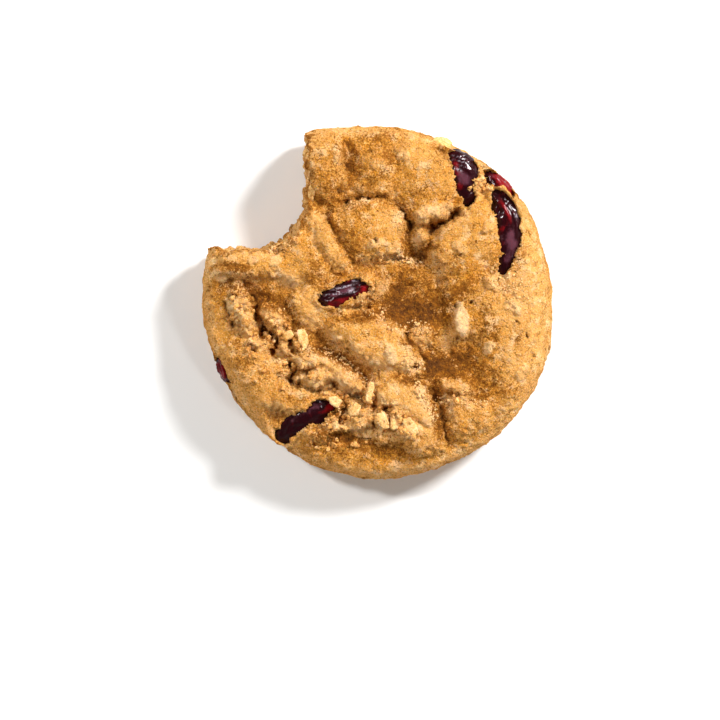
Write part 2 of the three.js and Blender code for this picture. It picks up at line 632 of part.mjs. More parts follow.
// Lays a flake on the face or the shoulder, along the slope there.
function layFlake(flake, random) {
  const [x, y] = flake.at;
  const normal = surfaceNormal(x, y);
  const tilt = new THREE.Vector3(random() - 0.5, random() - 0.5, 0).multiplyScalar(FLAKE_TILT);
  const upright = new THREE.Vector3(0, 0, 1);
  const lay = new THREE.Quaternion().setFromUnitVectors(upright, normal.add(tilt).normalize());
  const geometry = oatFlake(flake.length, flake.width, random);
  geometry.rotateZ(flake.turn * DEGREE);
  geometry.applyQuaternion(lay);
  geometry.translate(x, y, surfaceHeight(x, y));
  return geometry;
}

// Whether a place on the face is clear of the bite, the rim and every cranberry.
function clearPlace(x, y, reach) {
  if (x < BITE_SIDE_X + reach && y > BITE_LOWER_Y - reach) {
    return false;
  }
  if (Math.hypot(x, y) > MEAN_RADIUS - RIM_CLEARANCE) {
    return false;
  }
  return CRANBERRIES.every((berry) => {
    const way = berry.ends.map((end) => [end[0], end[1]]);
    return nearestOnWay(x, y, way).distance > berry.width / 2 + reach;
  });
}

function allFlakes() {
  const random = seededRandom(31);
  const flakes = [...SHOWN_FLAKES];
  while (flakes.length < SHOWN_FLAKES.length + SPREAD_FLAKES) {
    const radius = MEAN_RADIUS * Math.sqrt(random());
    const angle = 2 * Math.PI * random();
    const length = THREE.MathUtils.lerp(...FLAKE_LENGTHS, random());
    const at = [radius * Math.cos(angle), radius * Math.sin(angle)];
    const apart = flakes.every((flake) => {
      return Math.hypot(at[0] - flake.at[0], at[1] - flake.at[1]) > (flake.length + length) / 2;
    });
    if (apart && clearPlace(at[0], at[1], length / 2 + FLAKE_CLEARANCE)) {
      const width = length * THREE.MathUtils.lerp(...FLAKE_WIDTH_SHARES, random());
      flakes.push({ at, length, width, turn: 180 * random() });
    }
  }
  return flakes.map((flake) => layFlake(flake, random));
}

// ---------------------------------------------------------------- joining and cutting

const wasm = await Module();
wasm.setup();

function weld(geometry) {
  const bare = geometry.clone();
  bare.deleteAttribute("normal");
  bare.deleteAttribute("uv");
  return mergeVertices(bare, WELD_DISTANCE);
}

function toSolid(geometry) {
  const welded = weld(geometry);
  return new wasm.Manifold(new wasm.Mesh({
    numProp: 3,
    vertProperties: new Float32Array(welded.attributes.position.array),
    triVerts: new Uint32Array(welded.index.array),
  }));
}

function toGeometry(solid) {
  const mesh = solid.getMesh();
  const geometry = new THREE.BufferGeometry();
  geometry.setAttribute("position", new THREE.Float32BufferAttribute(mesh.vertProperties, 3));
  geometry.setIndex(Array.from(mesh.triVerts));
  return geometry;
}

// The largest of the pieces: it drops loose scraps and fills sealed hollows.
function largestPiece(solid) {
  return solid.decompose().reduce((best, piece) => (piece.volume() > best.volume() ? piece : best));
}

// The space pressed into the dough by a berry: the berry itself, grown by the gap.
function berrySocket(geometry) {
  const grown = geometry.clone();
  grown.computeVertexNormals();
  const place = grown.attributes.position;
  const normal = grown.attributes.normal;
  for (let i = 0; i < place.count; i += 1) {
    place.setXYZ(
      i,
      place.getX(i) + BERRY_GAP * normal.getX(i),
      place.getY(i) + BERRY_GAP * normal.getY(i),
      place.getZ(i) + BERRY_GAP * normal.getZ(i),
    );
  }
  return grown;
}

// The window over a berry, along the way that it faces: its upper half, a little smaller in
// plan and stretched far out.
function berryWindow(geometry) {
  const opened = geometry.clone();
  const place = opened.attributes.position;
  for (let i = 0; i < place.count; i += 1) {
    const z = place.getZ(i);
    place.setXYZ(
      i,
      WINDOW_SHARE * place.getX(i),
      WINDOW_SHARE * place.getY(i),
      z > 0 ? z + WINDOW_RISE : WINDOW_SHARE * z,
    );
  }
  return opened;
}

// ---------------------------------------------------------------- the object

const cookie = new THREE.Group();

let dough = toSolid(roundDough());
for (const flake of allFlakes()) {
  dough = dough.add(toSolid(flake));
}
dough = dough.subtract(toSolid(biteBlock()));

CRANBERRIES.forEach((berry, index) => {
  const geometry = cranberryGeometry(berry, 51 + index);
  const placement = berryPlacement(berry);
  const socket = toSolid(berrySocket(geometry).applyMatrix4(placement));
  const opening = toSolid(berryWindow(geometry).applyMatrix4(placement));
  dough = dough.subtract(socket.add(opening));
  const mesh = new THREE.Mesh(geometry, new THREE.MeshStandardMaterial(CRANBERRY));
  mesh.name = berry.name;
  mesh.applyMatrix4(placement);
  cookie.add(mesh);
});

const body = new THREE.Mesh(toGeometry(largestPiece(dough)), new THREE.MeshStandardMaterial(DOUGH));
body.name = "cookie_body";
cookie.add(body);

export default cookie;
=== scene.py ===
"""A soft-baked oatmeal cranberry cookie with a bite out of it, lying flat with its face up.

Lengths in the lists below are millimetres, in the packed model's frame: +Z up out of the
baked face, the origin on the base under the middle of the outline. MM turns them into the
metres that every mesh is made in.
"""

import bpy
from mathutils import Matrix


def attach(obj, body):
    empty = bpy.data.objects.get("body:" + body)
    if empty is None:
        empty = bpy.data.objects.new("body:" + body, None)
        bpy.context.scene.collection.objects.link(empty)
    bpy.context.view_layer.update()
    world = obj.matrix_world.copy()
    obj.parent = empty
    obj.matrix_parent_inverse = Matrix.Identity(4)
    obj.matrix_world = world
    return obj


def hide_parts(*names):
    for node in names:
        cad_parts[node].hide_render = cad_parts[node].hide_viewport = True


bl_info = {
    "name": "Oatmeal Cranberry Cookie",
    "version": (1, 0, 0),
    "blender": (4, 5, 0),
    "location": "3D View > Sidebar > Cookie",
    "description": "Builds a bitten oatmeal cranberry cookie with its flakes, crumbs and berries",
    "category": "Add Mesh",
}

import math
from collections import namedtuple

import bmesh
import bpy
import numpy as np
from bpy.props import FloatProperty, FloatVectorProperty, PointerProperty
from bpy.types import Operator, Panel, PropertyGroup
from mathutils import Matrix, Vector
from mathutils.bvhtree import BVHTree

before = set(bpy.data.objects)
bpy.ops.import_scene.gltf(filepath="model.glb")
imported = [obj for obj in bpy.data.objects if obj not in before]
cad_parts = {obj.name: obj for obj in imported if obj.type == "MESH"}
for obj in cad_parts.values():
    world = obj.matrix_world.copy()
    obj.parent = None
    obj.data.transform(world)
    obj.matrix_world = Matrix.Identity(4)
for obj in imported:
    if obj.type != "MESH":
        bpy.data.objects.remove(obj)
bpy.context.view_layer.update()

MM = 0.001
BODY = "root"

# ------------------------------------------------------------------ the dough's shape

# Slow waves of the outline: height and the direction of the first crest, by wave number.
OUTLINE_WAVES = ((0.45, 78), (0.66, -50), (0.20, 20), (0.18, -40), (0.24, -31))

# One bulge of the outline, by the upper corner of the bite: height, direction, half width.
OUTLINE_BULGE = (0.9, 113, 9)

# Slabs of dough that baked into each other: middle, half length and half width, turn,
# height of the top over the plateau, direction and slope of the fall, squareness of the edge.
SLABS = (
    ((-10.4, 28.5), (8.2, 4.1), 97, 1.2, (0, 0.05), 3.8),
    ((-0.2, 25.2), (5.0, 5.9), 0, 0.7, (180, 0.10), 3.2),
    ((9.6, 25.4), (7.0, 8.2), -12, 1.3, (200, 0.05), 2.6),
    ((10.6, 18.2), (5.4, 2.0), 14, 1.1, (270, 0.05), 2.2),
    ((-2.2, 14.6), (8.4, 6.2), -10, 1.1, (180, 0.05), 3.5),
    ((-10.2, 13.0), (7.6, 3.0), -60, 1.2, (30, 0.05), 2.4),
    ((-15.6, 12.2), (5.0, 4.4), 0, 0.7, (0, 0.0), 3.0),
    ((-13.2, 7.6), (6.6, 3.6), -62, 0.95, (0, 0.02), 3.0),
    ((9.2, 13.4), (1.8, 2.0), 0, 0.5, (0, 0.0), 2.0),
    ((17.4, 12.6), (9.0, 6.6), 62, 1.1, (215, 0.05), 3.8),
    ((-0.6, -7.9), (11.6, 4.5), -27, 1.7, (240, 0.03), 3.0),
    ((6.4, -11.4), (3.6, 3.3), -30, 1.6, (0, 0.02), 2.4),
    ((9.2, -6.0), (3.3, 2.8), 0, 0.3, (0, 0.0), 2.2),
    ((6.3, -21.4), (9.4, 5.0), -57, 1.8, (40, 0.05), 3.8),
    ((17.6, -23.0), (5.8, 4.4), 0, 0.8, (250, 0.03), 3.6),
    ((-24.5, 7.7), (10.5, 3.1), 2, 0.9, (60, 0.05), 3.4),
    ((-16.0, 7.6), (5.5, 4.6), -20, 0.7, (0, 0.0), 3.0),
    ((-12.6, 0.0), (5.0, 5.6), -20, 0.8, (0, 0.0), 3.0),
    ((-27.0, -1.0), (6.0, 2.1), 106, 0.9, (0, 0.02), 4.2),
    ((-20.5, -2.7), (3.8, 2.9), -35, 0.7, (0, 0.0), 2.4),
    ((-24.4, -8.2), (2.8, 1.7), -15, 0.7, (0, 0.0), 2.4),
    ((-18.7, -8.8), (2.0, 1.6), 0, 0.95, (0, 0.0), 2.2),
    ((-16.2, -8.6), (1.1, 1.7), 0, 0.5, (0, 0.0), 2.2),
    ((-12.6, -11.6), (4.8, 2.2), -16, 1.4, (0, 0.03), 2.6),
    ((-11.2, -14.9), (5.2, 2.2), -5, 1.2, (0, 0.03), 2.6),
    ((-6.2, -15.0), (5.2, 2.4), -42, 1.4, (0, 0.04), 3.0),
    ((-26.0, -14.5), (9.0, 8.0), -60, 0.3, (0, 0.0), 4.5),
    ((-17.0, -19.2), (6.0, 3.6), -15, 0.5, (0, 0.0), 3.0),
    ((-1.7, -18.3), (2.4, 0.9), 78, 1.2, (0, 0.0), 2.4),
    ((-3.6, -22.6), (3.8, 3.1), 70, 0.8, (0, 0.0), 2.6),
    ((3.0, -27.2), (4.8, 1.8), -8, 0.5, (0, 0.0), 2.6),
    ((0.6, -23.3), (2.8, 1.1), 112, 1.1, (0, 0.0), 2.6),
    ((4.0, -23.8), (2.9, 1.3), 80, 1.0, (0, 0.0), 2.6),
    ((-8.0, -24.7), (3.4, 1.8), 10, 0.6, (0, 0.0), 2.4),
    ((-12.0, -26.3), (4.0, 1.6), -5, 0.4, (0, 0.0), 2.4),
    ((30.0, -4.0), (28.0, 11.5), 90, 0.0, (0, 0.0), 4.0),
    ((19.6, -0.4), (8.6, 6.4), -50, 0.6, (230, 0.06), 3.6),
    ((22.6, 4.0), (2.6, 1.5), -45, 1.0, (0, 0.0), 2.4),
    ((15.4, -16.9), (4.4, 1.7), -22, 0.8, (0, 0.0), 2.0),
    ((16.8, -3.2), (3.9, 2.0), 98, 0.7, (30, 0.22), 3.0),
)
# The level between the slabs, how far a slab's edge falls, and how softly two slabs meet.
RELIEF_FLOOR = -0.9
SLAB_CROWN = 1.4
CREASE_BLEND = 0.35

# Lengths of the shoulder's and the foot's rounding, as shares of how far in they reach.
SHOULDER_ARC = 1.45
FOOT_ARC = 1.5

# Broad swells and hollows added to the slabs: middle, half sizes, turn, height, squareness.
SWELLS = (
    ((30.0, -4.0), (9.0, 26.0), 0, 1.2, 3.0),
    ((6.2, 0.4), (8.4, 6.4), 0, -1.6, 2.2),
    ((13.4, -12.0), (5.8, 3.4), -10, -1.3, 2.2),
    ((-5.6, 29.4), (1.5, 4.2), 18, -0.8, 2.4),
    ((8.0, 9.4), (2.0, 1.7), 0, -1.6, 2.4),
    ((6.4, 14.4), (1.0, 3.6), -6, -1.3, 2.4),
    ((-24.4, 1.2), (6.6, 1.9), -28, -1.1, 2.2),
    ((-10.0, -8.4), (5.0, 2.0), -42, -0.5, 2.0),
    ((-19.0, -23.5), (4.0, 1.5), -32, -0.9, 2.5),
    ((12.6, -20.6), (1.7, 7.0), 10, -1.1, 2.2),
    ((-3.5, -2.8), (4.0, 1.0), 6, -0.5, 2.2),
)

# Cracks: the way each one runs, its depth and its half width.
CRACKS = (
    (((-8.0, 19.8), (-5.5, 20.4), (-3.0, 20.8), (0.0, 21.2), (3.0, 20.6)), 0.9, 0.6),
    (((17.2, 19.0), (14.0, 16.6), (11.5, 15.6), (10.5, 13.5)), 2.2, 0.8),
    (((4.2, 19.0), (5.3, 17.2), (6.3, 15.6)), 1.2, 0.6),
    (((-25.0, 0.5), (-24.5, -2.5), (-22.7, -3.8), (-22.0, -6.0), (-20.4, -7.0), (-20.8, -9.0),
      (-21.7, -10.5)), 1.7, 0.65),
    (((-25.5, -2.8), (-22.5, -4.8)), 0.4, 0.5),
    (((-29.4, 1.2), (-27.2, 0.6), (-25.4, 1.0)), 0.6, 0.4),
    (((-20.0, -7.5), (-17.2, -7.6), (-17.0, -9.6), (-15.2, -10.0), (-13.0, -9.6)), 1.0, 0.45),
    (((-18.0, -11.3), (-17.2, -13.5), (-17.3, -15.5), (-15.0, -17.0)), 1.3, 0.5),
    (((-16.8, -13.6), (-13.5, -13.0), (-12.0, -12.8)), 0.7, 0.4),
    (((-11.0, -16.6), (-9.2, -16.1), (-7.8, -17.1)), 1.0, 0.5),
    (((-6.0, -18.3), (-4.5, -18.6), (-3.0, -19.6), (-2.4, -21.0)), 0.9, 0.5),
    (((0.6, -20.6), (2.6, -21.6), (3.0, -23.5), (2.9, -26.0)), 1.0, 0.45),
    (((-1.0, 1.0), (-2.8, -1.6), (-5.0, -3.2)), 0.6, 0.8),
    (((-8.0, -1.2), (-11.0, -4.8)), 0.5, 0.7),
    (((5.6, -5.6), (6.2, -7.4), (8.2, -9.4), (9.9, -12.0)), 1.5, 0.75),
    (((12.0, -17.6), (14.5, -18.2), (17.0, -19.4)), 0.25, 0.7),
    (((2.0, 9.2), (5.0, 8.8), (7.0, 8.9)), 0.8, 0.5),
    (((-10.6, 19.0), (-8.8, 15.0), (-6.8, 11.0)), 0.9, 0.6),
    (((-12.0, -9.8), (-8.0, -11.8), (-4.0, -14.0), (-2.0, -15.6)), 1.1, 0.55),
    (((-31.0, 0.8), (-30.1, -1.6), (-29.0, -5.0)), 0.8, 0.4),
    (((2.6, -26.2), (-1.0, -27.2), (-6.0, -27.4)), 0.6, 0.6),
    (((5.0, -22.0), (7.5, -23.2), (10.0, -25.6)), 0.6, 0.4),
)

# Small round holes in the crust: middle, radius, depth.
PITS = (
    ((7.5, -13.0), 0.55, 1.8), ((15.3, -0.4), 0.35, 0.9), ((18.9, -0.2), 0.3, 0.9),
    ((16.3, -7.0), 0.4, 0.9), ((30.1, -6.7), 0.35, 1.0), ((31.2, -10.5), 0.45, 1.2),
    ((28.0, -3.9), 0.4, 1.0), ((32.0, -6.4), 0.35, 0.8), ((-6.5, -21.0), 0.6, 1.5),
    ((-8.9, -16.4), 0.5, 1.1), ((-1.9, -24.8), 0.45, 1.2), ((2.2, -20.9), 0.5, 1.6),
    ((-5.9, 20.0), 0.5, 1.2), ((-3.8, 20.5), 0.35, 1.0), ((-17.4, -8.0), 0.7, 1.6),
    ((-28.9, -5.0), 0.6, 1.2), ((-0.6, 12.9), 0.45, 0.9), ((16.6, 9.6), 0.3, 0.8),
    ((12.4, 16.6), 0.4, 1.0), ((-24.6, -9.9), 0.4, 0.9),
)

# The block that the bite takes away reaches this far past the outline, under the base and over
# the plateau.
BITE_BEYOND = 8.0
BITE_BELOW = 3.0
BITE_ABOVE = 7.0

# Its tooth marks, how far its wall leans, and how much of the lean the straight sides have.
TOOTH_DEPTH = 0.45
TOOTH_WIDTH = 6.5
WALL_LEAN = 1.3
STRAIGHT_LEAN = 0.45

# The wall's faces lie left of and above this place in plan, and no farther than this from it.
NEAR_BITE = (-10.0, 6.0)
ON_WALL = 0.1

# Hollows are read from a grid of this step, against copies softened over these widths.
HEIGHT_STEP = 0.25
HOLLOW_WIDTHS = (1.0, 3.2)

# Places where the crust is darker: partly baked browning, partly painted shade in hollows, creases and
# under ledges, and a painted shadow along the lower edge: middle, half sizes, turn, strength.
BROWNED_AND_SHADED = (
    ((6.0, 0.6), (6.4, 5.0), -10, 1.1),
    ((5.6, 12.4), (0.8, 3.6), 4, 1.0),
    ((5.6, 18.6), (1.0, 1.4), 0, 0.6),
    ((5.8, -4.0), (2.2, 0.9), 10, 1.0),
    ((5.8, -8.2), (1.9, 1.0), -38, 1.6),
    ((11.4, 11.4), (1.8, 1.0), 20, 0.5),
    ((15.2, 8.6), (1.4, 1.2), 0, 0.4),
    ((-10.0, -10.0), (5.6, 0.9), -16, 1.3),
    ((-7.0, 31.6), (1.4, 1.2), 0, 0.4),
    ((0.4, 33.6), (4.0, 1.0), 0, 0.35),
    ((-8.4, -21.8), (1.4, 0.8), 20, 2.6),
    ((22.0, -4.0), (2.2, 2.4), 0, 0.5),
    ((22.6, -14.6), (1.4, 2.4), 0, 0.35),
    ((-31.8, 1.6), (0.9, 2.0), 0, 0.5),
    ((28.2, 8.6), (1.8, 2.8), -20, 0.5),
    ((3.6, -1.0), (3.4, 2.0), -10, 0.7),
    ((10.0, -2.2), (3.6, 1.7), -10, 0.8),
    ((4.6, 4.4), (1.3, 2.2), 0, 0.6),
    ((-3.6, -3.0), (4.2, 1.1), 8, 1.3),
    ((15.8, 1.6), (3.0, 1.6), 30, 1.2),
    ((10.8, -3.2), (2.4, 3.2), 0, 0.6),
    ((17.2, -9.8), (2.2, 1.3), 0, 1.2),
    ((-28.2, 7.3), (2.6, 1.1), -10, 1.2),
    ((-22.4, -6.7), (1.6, 0.9), -10, 1.6),
    ((-16.5, -6.2), (0.8, 1.0), 0, 0.8),
    ((-19.0, -0.6), (1.2, 1.6), 35, 0.6),
    ((-28.4, 2.2), (1.2, 1.2), 0, 0.7),
    ((-28.0, -8.0), (1.2, 1.0), 0, 0.8),
    ((-15.4, -10.0), (1.2, 0.7), 0, 0.9),
    ((-8.0, -2.4), (1.2, 1.0), 0, 0.8),
    ((-1.4, -2.4), (1.6, 0.9), 0, 0.6),
    ((-18.0, -18.6), (1.4, 1.6), 0, 0.5),
    ((-14.4, -18.8), (1.4, 1.0), 0, 0.5),
    ((27.8, -6.6), (1.2, 1.4), 0, 0.9),
    ((23.4, -6.6), (0.9, 3.6), 0, 0.6),
    ((19.2, -19.6), (1.6, 1.2), 0, 0.5),
    ((7.6, 7.4), (2.2, 1.0), 20, 0.5),
    ((10.4, -0.6), (1.0, 0.9), 0, 0.7),
    ((11.6, -6.4), (1.2, 1.2), 0, 0.7),
    ((-9.2, -26.8), (4.4, 0.9), -8, 1.5),
    ((13.4, 30.6), (2.4, 0.7), -10, 1.2),
    ((0.0, 33.2), (6.0, 1.4), 0, 0.3),
    ((20.2, 25.6), (1.2, 1.8), -30, 0.5),
    ((-0.8, 24.4), (2.6, 2.4), 0, 0.65),
    ((9.4, 22.8), (2.2, 1.4), 20, 0.6),
    ((13.6, 19.6), (2.6, 1.2), 30, 0.3),
    ((-11.4, -7.8), (1.0, 2.8), 12, 0.6),
    ((-25.0, 2.0), (7.8, 1.9), -27, 0.95),
    ((14.0, -12.0), (6.0, 2.5), -8, 1.2),
    ((10.6, -13.2), (1.6, 2.4), 0, 1.8),
    ((6.4, -15.6), (3.2, 1.0), -18, 1.7),
    ((-6.2, 30.4), (1.7, 3.0), 18, 0.6),
    ((0.5, 30.5), (5.0, 2.0), -10, 0.35),
    ((-10.5, 28.0), (4.4, 6.5), 10, 0.42),
    ((-6.0, -12.4), (5.2, 0.8), -34, 1.2),
    ((-31.5, 3.2), (2.6, 1.2), -20, 0.5),
    ((-27.6, -11.4), (2.2, 3.0), 0, 0.45),
    ((-17.6, -4.2), (1.6, 3.6), 35, 0.45),
    ((11.8, -22.2), (1.3, 5.0), 8, 1.9),
    ((8.3, 10.4), (2.0, 2.0), 0, 0.6),
    ((-8.8, 16.0), (1.6, 4.0), 28, 0.2),
    ((-3.4, 18.2), (2.4, 2.2), 0, 0.65),
    ((-5.2, 14.6), (1.4, 1.8), 0, 0.5),
    ((-4.6, 11.6), (2.6, 1.6), -20, 0.4),
    ((-12.3, 5.6), (1.8, 3.2), 15, 0.95),
    ((-8.8, 23.4), (2.4, 2.0), 0, 0.6),
    ((2.2, 27.4), (2.0, 3.6), 20, 0.6),
    ((26.0, -17.0), (4.6, 1.8), 0, 0.5),
    ((-2.0, -29.0), (13.0, 3.0), 2, 0.6),
    ((-19.5, -23.6), (4.0, 1.6), -32, 0.5),
    ((-9.0, 3.0), (2.4, 1.4), 20, 0.6),
    ((14.0, 8.0), (2.2, 4.0), 30, 0.3),
    ((20.0, -20.0), (5.0, 6.0), -30, 0.3),
    ((26.6, 18.8), (1.4, 1.4), 0, 0.6),
    ((19.0, 4.6), (2.6, 1.0), 10, 0.5),
    ((-5.0, 10.2), (3.4, 1.2), 0, 0.35),
    ((-26.5, -12.2), (2.0, 1.6), 0, 0.4),
    ((-24.0, -15.5), (2.6, 3.6), 0, 0.25),
    ((-28.0, 6.6), (4.6, 0.8), -6, 0.5),
    ((-13.0, 18.8), (1.6, 1.4), 0, 0.4),
    ((-2.0, 13.6), (3.6, 1.6), 0, 0.2),
    ((28.4, 8.8), (1.6, 2.4), -20, 0.3),
    ((21.2, -1.4), (1.4, 2.4), 0, 0.3),
    ((-16.0, -19.4), (2.6, 1.0), 0, 0.4),
    ((11.4, 26.6), (4.0, 3.6), 0, 0.12),
    ((-8.0, 4.6), (6.0, 2.6), 20, 0.15),
)

# Places where the face is broken into lumps: middle, half sizes, turn, strength.
CRUMBLED = (
    ((-8.5, -18.6), (3.5, 1.6), -25, 0.7),
    ((-1.0, -23.0), (6.0, 4.5), 0, 0.65),
    ((4.6, -24.6), (3.6, 2.6), -50, 0.7),
    ((-18.6, -7.4), (3.2, 2.6), 0, 0.6),
    ((-26.8, -2.0), (2.4, 5.4), 16, 0.75),
    ((-20.8, -3.0), (3.4, 3.0), -35, 0.6),
    ((4.0, 8.8), (4.0, 1.0), 0, 0.8),
    ((21.3, 24.6), (2.2, 2.6), -40, 1.0),
    ((18.8, 23.3), (1.5, 0.8), 10, 1.6),
    ((-20.5, -14.5), (5.0, 5.0), 0, 0.35),
    ((-8.0, -27.5), (8.0, 1.8), 0, 0.45),
    ((-18.5, 12.0), (4.0, 2.0), 35, 0.5),
    ((-8.0, -23.4), (3.6, 2.2), 15, 0.9),
    ((17.0, -19.4), (5.0, 0.7), -12, 0.5),
    ((-23.8, -8.6), (3.6, 2.4), 0, 0.7),
    ((-14.0, -14.0), (4.2, 2.6), -15, 0.45),
    ((24.0, 4.0), (4.2, 1.2), -50, 0.5),
)

# Pale sandy places, where the broken edges of the slabs are: middle, half sizes, turn, strength.
SANDY = (
    ((-6.2, -12.6), (6.0, 1.2), -38, 0.9),
    ((-12.5, -10.0), (3.6, 0.9), -12, 0.6),
    ((9.6, -19.4), (4.8, 1.4), -60, 1.0),
    ((7.0, -12.0), (2.6, 1.8), -30, 0.7),
    ((8.0, -5.0), (2.6, 1.8), 0, 0.6),
    ((1.5, -3.5), (4.0, 1.2), -28, 0.6),
    ((16.5, -19.6), (5.5, 0.8), -4, 0.7),
    ((25.0, 3.2), (4.4, 1.0), -58, 0.8),
    ((5.5, 8.6), (3.4, 0.8), -5, 0.8),
    ((4.2, 16.8), (1.2, 2.2), -30, 0.7),
    ((-3.5, 20.2), (3.0, 0.6), 8, 0.7),
    ((-18.5, 12.2), (4.4, 1.2), 36, 0.7),
    ((-9.0, -22.6), (2.6, 2.0), 0, 0.7),
    ((-28.6, -1.5), (0.5, 4.0), 16, 0.9),
    ((-2.5, 2.0), (2.0, 2.6), 0, 0.4),
    ((28.0, 6.0), (2.5, 8.0), 8, 0.4),
)

# Crumbs: where each kind lies, its least size, how much larger it may be, how many lie on a
# square millimetre, and how pale they are.
CRUMB_KINDS = (
    (CRUMBLED, 0.26, 0.62, 1.0, 0.35),
    (SANDY, 0.14, 0.22, 4.4, 0.95),
)
CRUMB_BREAKS = 7
LOWEST_CRUMB = 9.0

# Pieces are dropped on the face from this height.
DROP_HEIGHT = 30.0

# Places where the crust is paler: partly crust that stayed pale, partly painted light that lifts
# dim slopes and creases: middle, half sizes, turn, strength.
PALE_AND_LIT_PLACES = (
    ((28.0, -2.0), (6.0, 14.0), 0, 0.6),
    ((-28.0, -3.4), (1.4, 3.0), 20, 1.5),
    ((-18.6, 4.8), (3.2, 2.4), 0, 0.6),
    ((-13.6, -4.6), (2.0, 2.4), 0, 0.5),
    ((-12.2, -17.0), (2.6, 1.3), 0, 1.3),
    ((-8.4, -16.0), (1.6, 1.1), -20, 1.6),
    ((-4.8, -17.9), (1.8, 1.0), -20, 1.3),
    ((-1.4, -23.0), (1.2, 3.4), 0, 0.6),
    ((3.4, -24.8), (2.4, 1.6), 0, 1.2),
    ((14.0, -9.6), (1.6, 3.4), 30, 1.1),
    ((-6.0, -24.2), (1.4, 1.8), 0, 0.8),
    ((-2.8, -26.2), (1.6, 0.8), 0, 0.9),
    ((-25.0, -9.0), (1.2, 0.9), 0, 0.9),
    ((-7.4, 13.2), (0.9, 1.0), 0, 0.6),
    ((1.6, 17.6), (1.3, 2.0), 0, 0.5),
    ((13.0, 0.6), (0.9, 1.0), 0, 0.5),
    ((-8.0, 28.6), (3.6, 1.2), 0, 0.3),
    ((-28.2, 5.0), (4.8, 0.9), -4, 1.2),
    ((-24.4, 3.4), (1.2, 1.6), 0, 0.8),
    ((-12.2, 13.2), (1.2, 4.6), 20, 0.65),
    ((12.4, 5.0), (1.4, 3.0), -10, 0.5),
    ((8.4, 2.8), (1.4, 2.0), 0, 0.8),
    ((2.6, 30.0), (4.0, 1.6), 0, 0.3),
    ((-23.8, -3.8), (1.2, 1.6), 0, 1.4),
    ((-18.8, -9.6), (1.6, 2.0), 0, 1.2),
    ((-12.4, -2.0), (1.6, 4.0), 10, 0.45),
    ((-17.6, 3.8), (1.8, 1.0), 0, 0.5),
    ((-0.6, 8.2), (4.8, 1.1), 0, 0.75),
    ((-9.0, 18.4), (3.4, 1.4), 20, 0.45),
    ((-8.6, 7.4), (1.0, 3.0), 20, 0.7),
    ((9.8, 15.6), (2.8, 1.1), 0, 0.9),
    ((8.2, 11.8), (0.9, 1.6), 0, 1.8),
    ((15.8, 17.9), (1.1, 1.0), 0, 1.0),
    ((3.3, 21.4), (1.0, 1.6), 0, 0.8),
    ((-4.4, 22.4), (1.6, 1.1), 0, 0.8),
    ((14.2, -21.0), (0.9, 2.6), 0, 1.1),
    ((8.4, -7.8), (1.6, 1.2), -30, 1.0),
    ((-0.5, -19.4), (0.8, 1.6), -10, 1.3),
    ((23.0, 3.2), (2.6, 0.9), 0, 0.7),
    ((16.2, -6.4), (3.2, 2.4), 0, 1.0),
    ((-0.4, -12.4), (4.2, 1.4), -14, 1.4),
    ((12.2, 6.4), (1.8, 3.0), -20, 0.7),
    ((1.2, 3.2), (1.8, 1.7), 0, 1.9),
    ((-14.0, -13.0), (3.0, 1.2), -10, 1.1),
    ((-11.0, -19.6), (1.6, 0.8), 0, 0.7),
    ((-4.4, -18.4), (1.8, 1.4), 0, 0.6),
    ((-0.9, -22.0), (1.0, 3.6), 0, 0.6),
    ((3.0, -26.2), (4.0, 1.4), 0, 0.7),
    ((-20.2, -21.6), (2.0, 1.4), -20, 1.7),
    ((27.2, -1.4), (2.0, 2.6), 0, 0.5),
    ((27.0, -12.6), (1.8, 2.2), 0, 0.5),
    ((-17.6, 4.4), (4.2, 1.4), -10, 0.8),
    ((-8.4, -7.8), (4.2, 1.6), -42, 0.9),
    ((7.0, -21.5), (8.0, 4.2), -57, 0.75),
    ((5.0, -10.4), (6.0, 3.2), -27, 0.55),
    ((-9.0, -13.5), (7.0, 4.2), -30, 0.45),
    ((-24.0, -14.0), (8.0, 7.0), 0, 0.20),
    ((-27.0, -1.0), (2.2, 5.0), 15, 0.45),
    ((18.0, 13.0), (6.0, 5.0), 60, 0.30),
    ((9.5, 25.5), (4.5, 5.0), 0, 0.25),
    ((-13.5, 0.0), (3.5, 5.0), -20, 0.35),
    ((-20.5, -2.7), (2.4, 2.0), 0, 0.35),
    ((0.5, 13.5), (4.0, 3.0), 0, 0.25),
    ((20.0, -20.0), (5.0, 5.0), 0, 0.20),
    ((-25.0, 9.3), (9.0, 1.2), 2, 0.35),
    ((-3.6, 0.4), (2.6, 2.0), 50, 1.1),
    ((-31.0, 4.4), (2.4, 0.9), -20, 0.8),
    ((-12.0, -15.5), (4.0, 3.0), 0, 0.35),
    ((0.0, -11.0), (4.0, 2.4), 0, 0.3),
    ((-14.0, 26.0), (1.2, 4.0), 0, 0.5),
    ((7.6, 12.4), (0.9, 2.0), 0, 0.8),
    ((-27.5, -4.3), (1.6, 1.4), 0, 0.7),
    ((-23.6, -3.0), (1.0, 2.2), 0, 0.7),
    ((-8.2, -15.4), (1.4, 1.2), 0, 0.6),
    ((-11.6, -22.0), (1.2, 2.4), 0, 0.7),
    ((-6.2, -23.0), (1.4, 1.4), 0, 0.7),
    ((-2.8, -25.6), (1.6, 1.0), 0, 0.7),
    ((-3.0, 4.4), (2.0, 1.2), -20, 1.2),
    ((-1.0, 1.2), (1.8, 1.4), 0, 0.8),
    ((-17.0, -25.2), (2.2, 1.2), -20, 0.9),
    ((-0.2, -18.8), (1.2, 1.4), 0, 0.8),
)

# ------------------------------------------------------------------ cranberries

# Each berry: its name, the CAD node it stands for, the two ends of its axis, width, thickness,
# sideways bow, the side it faces, how long, how wide and how deep its wrinkles are, and how
# much they fade towards the second end.
Berry = namedtuple("Berry", "name node ends width thick bow faces wrinkles")

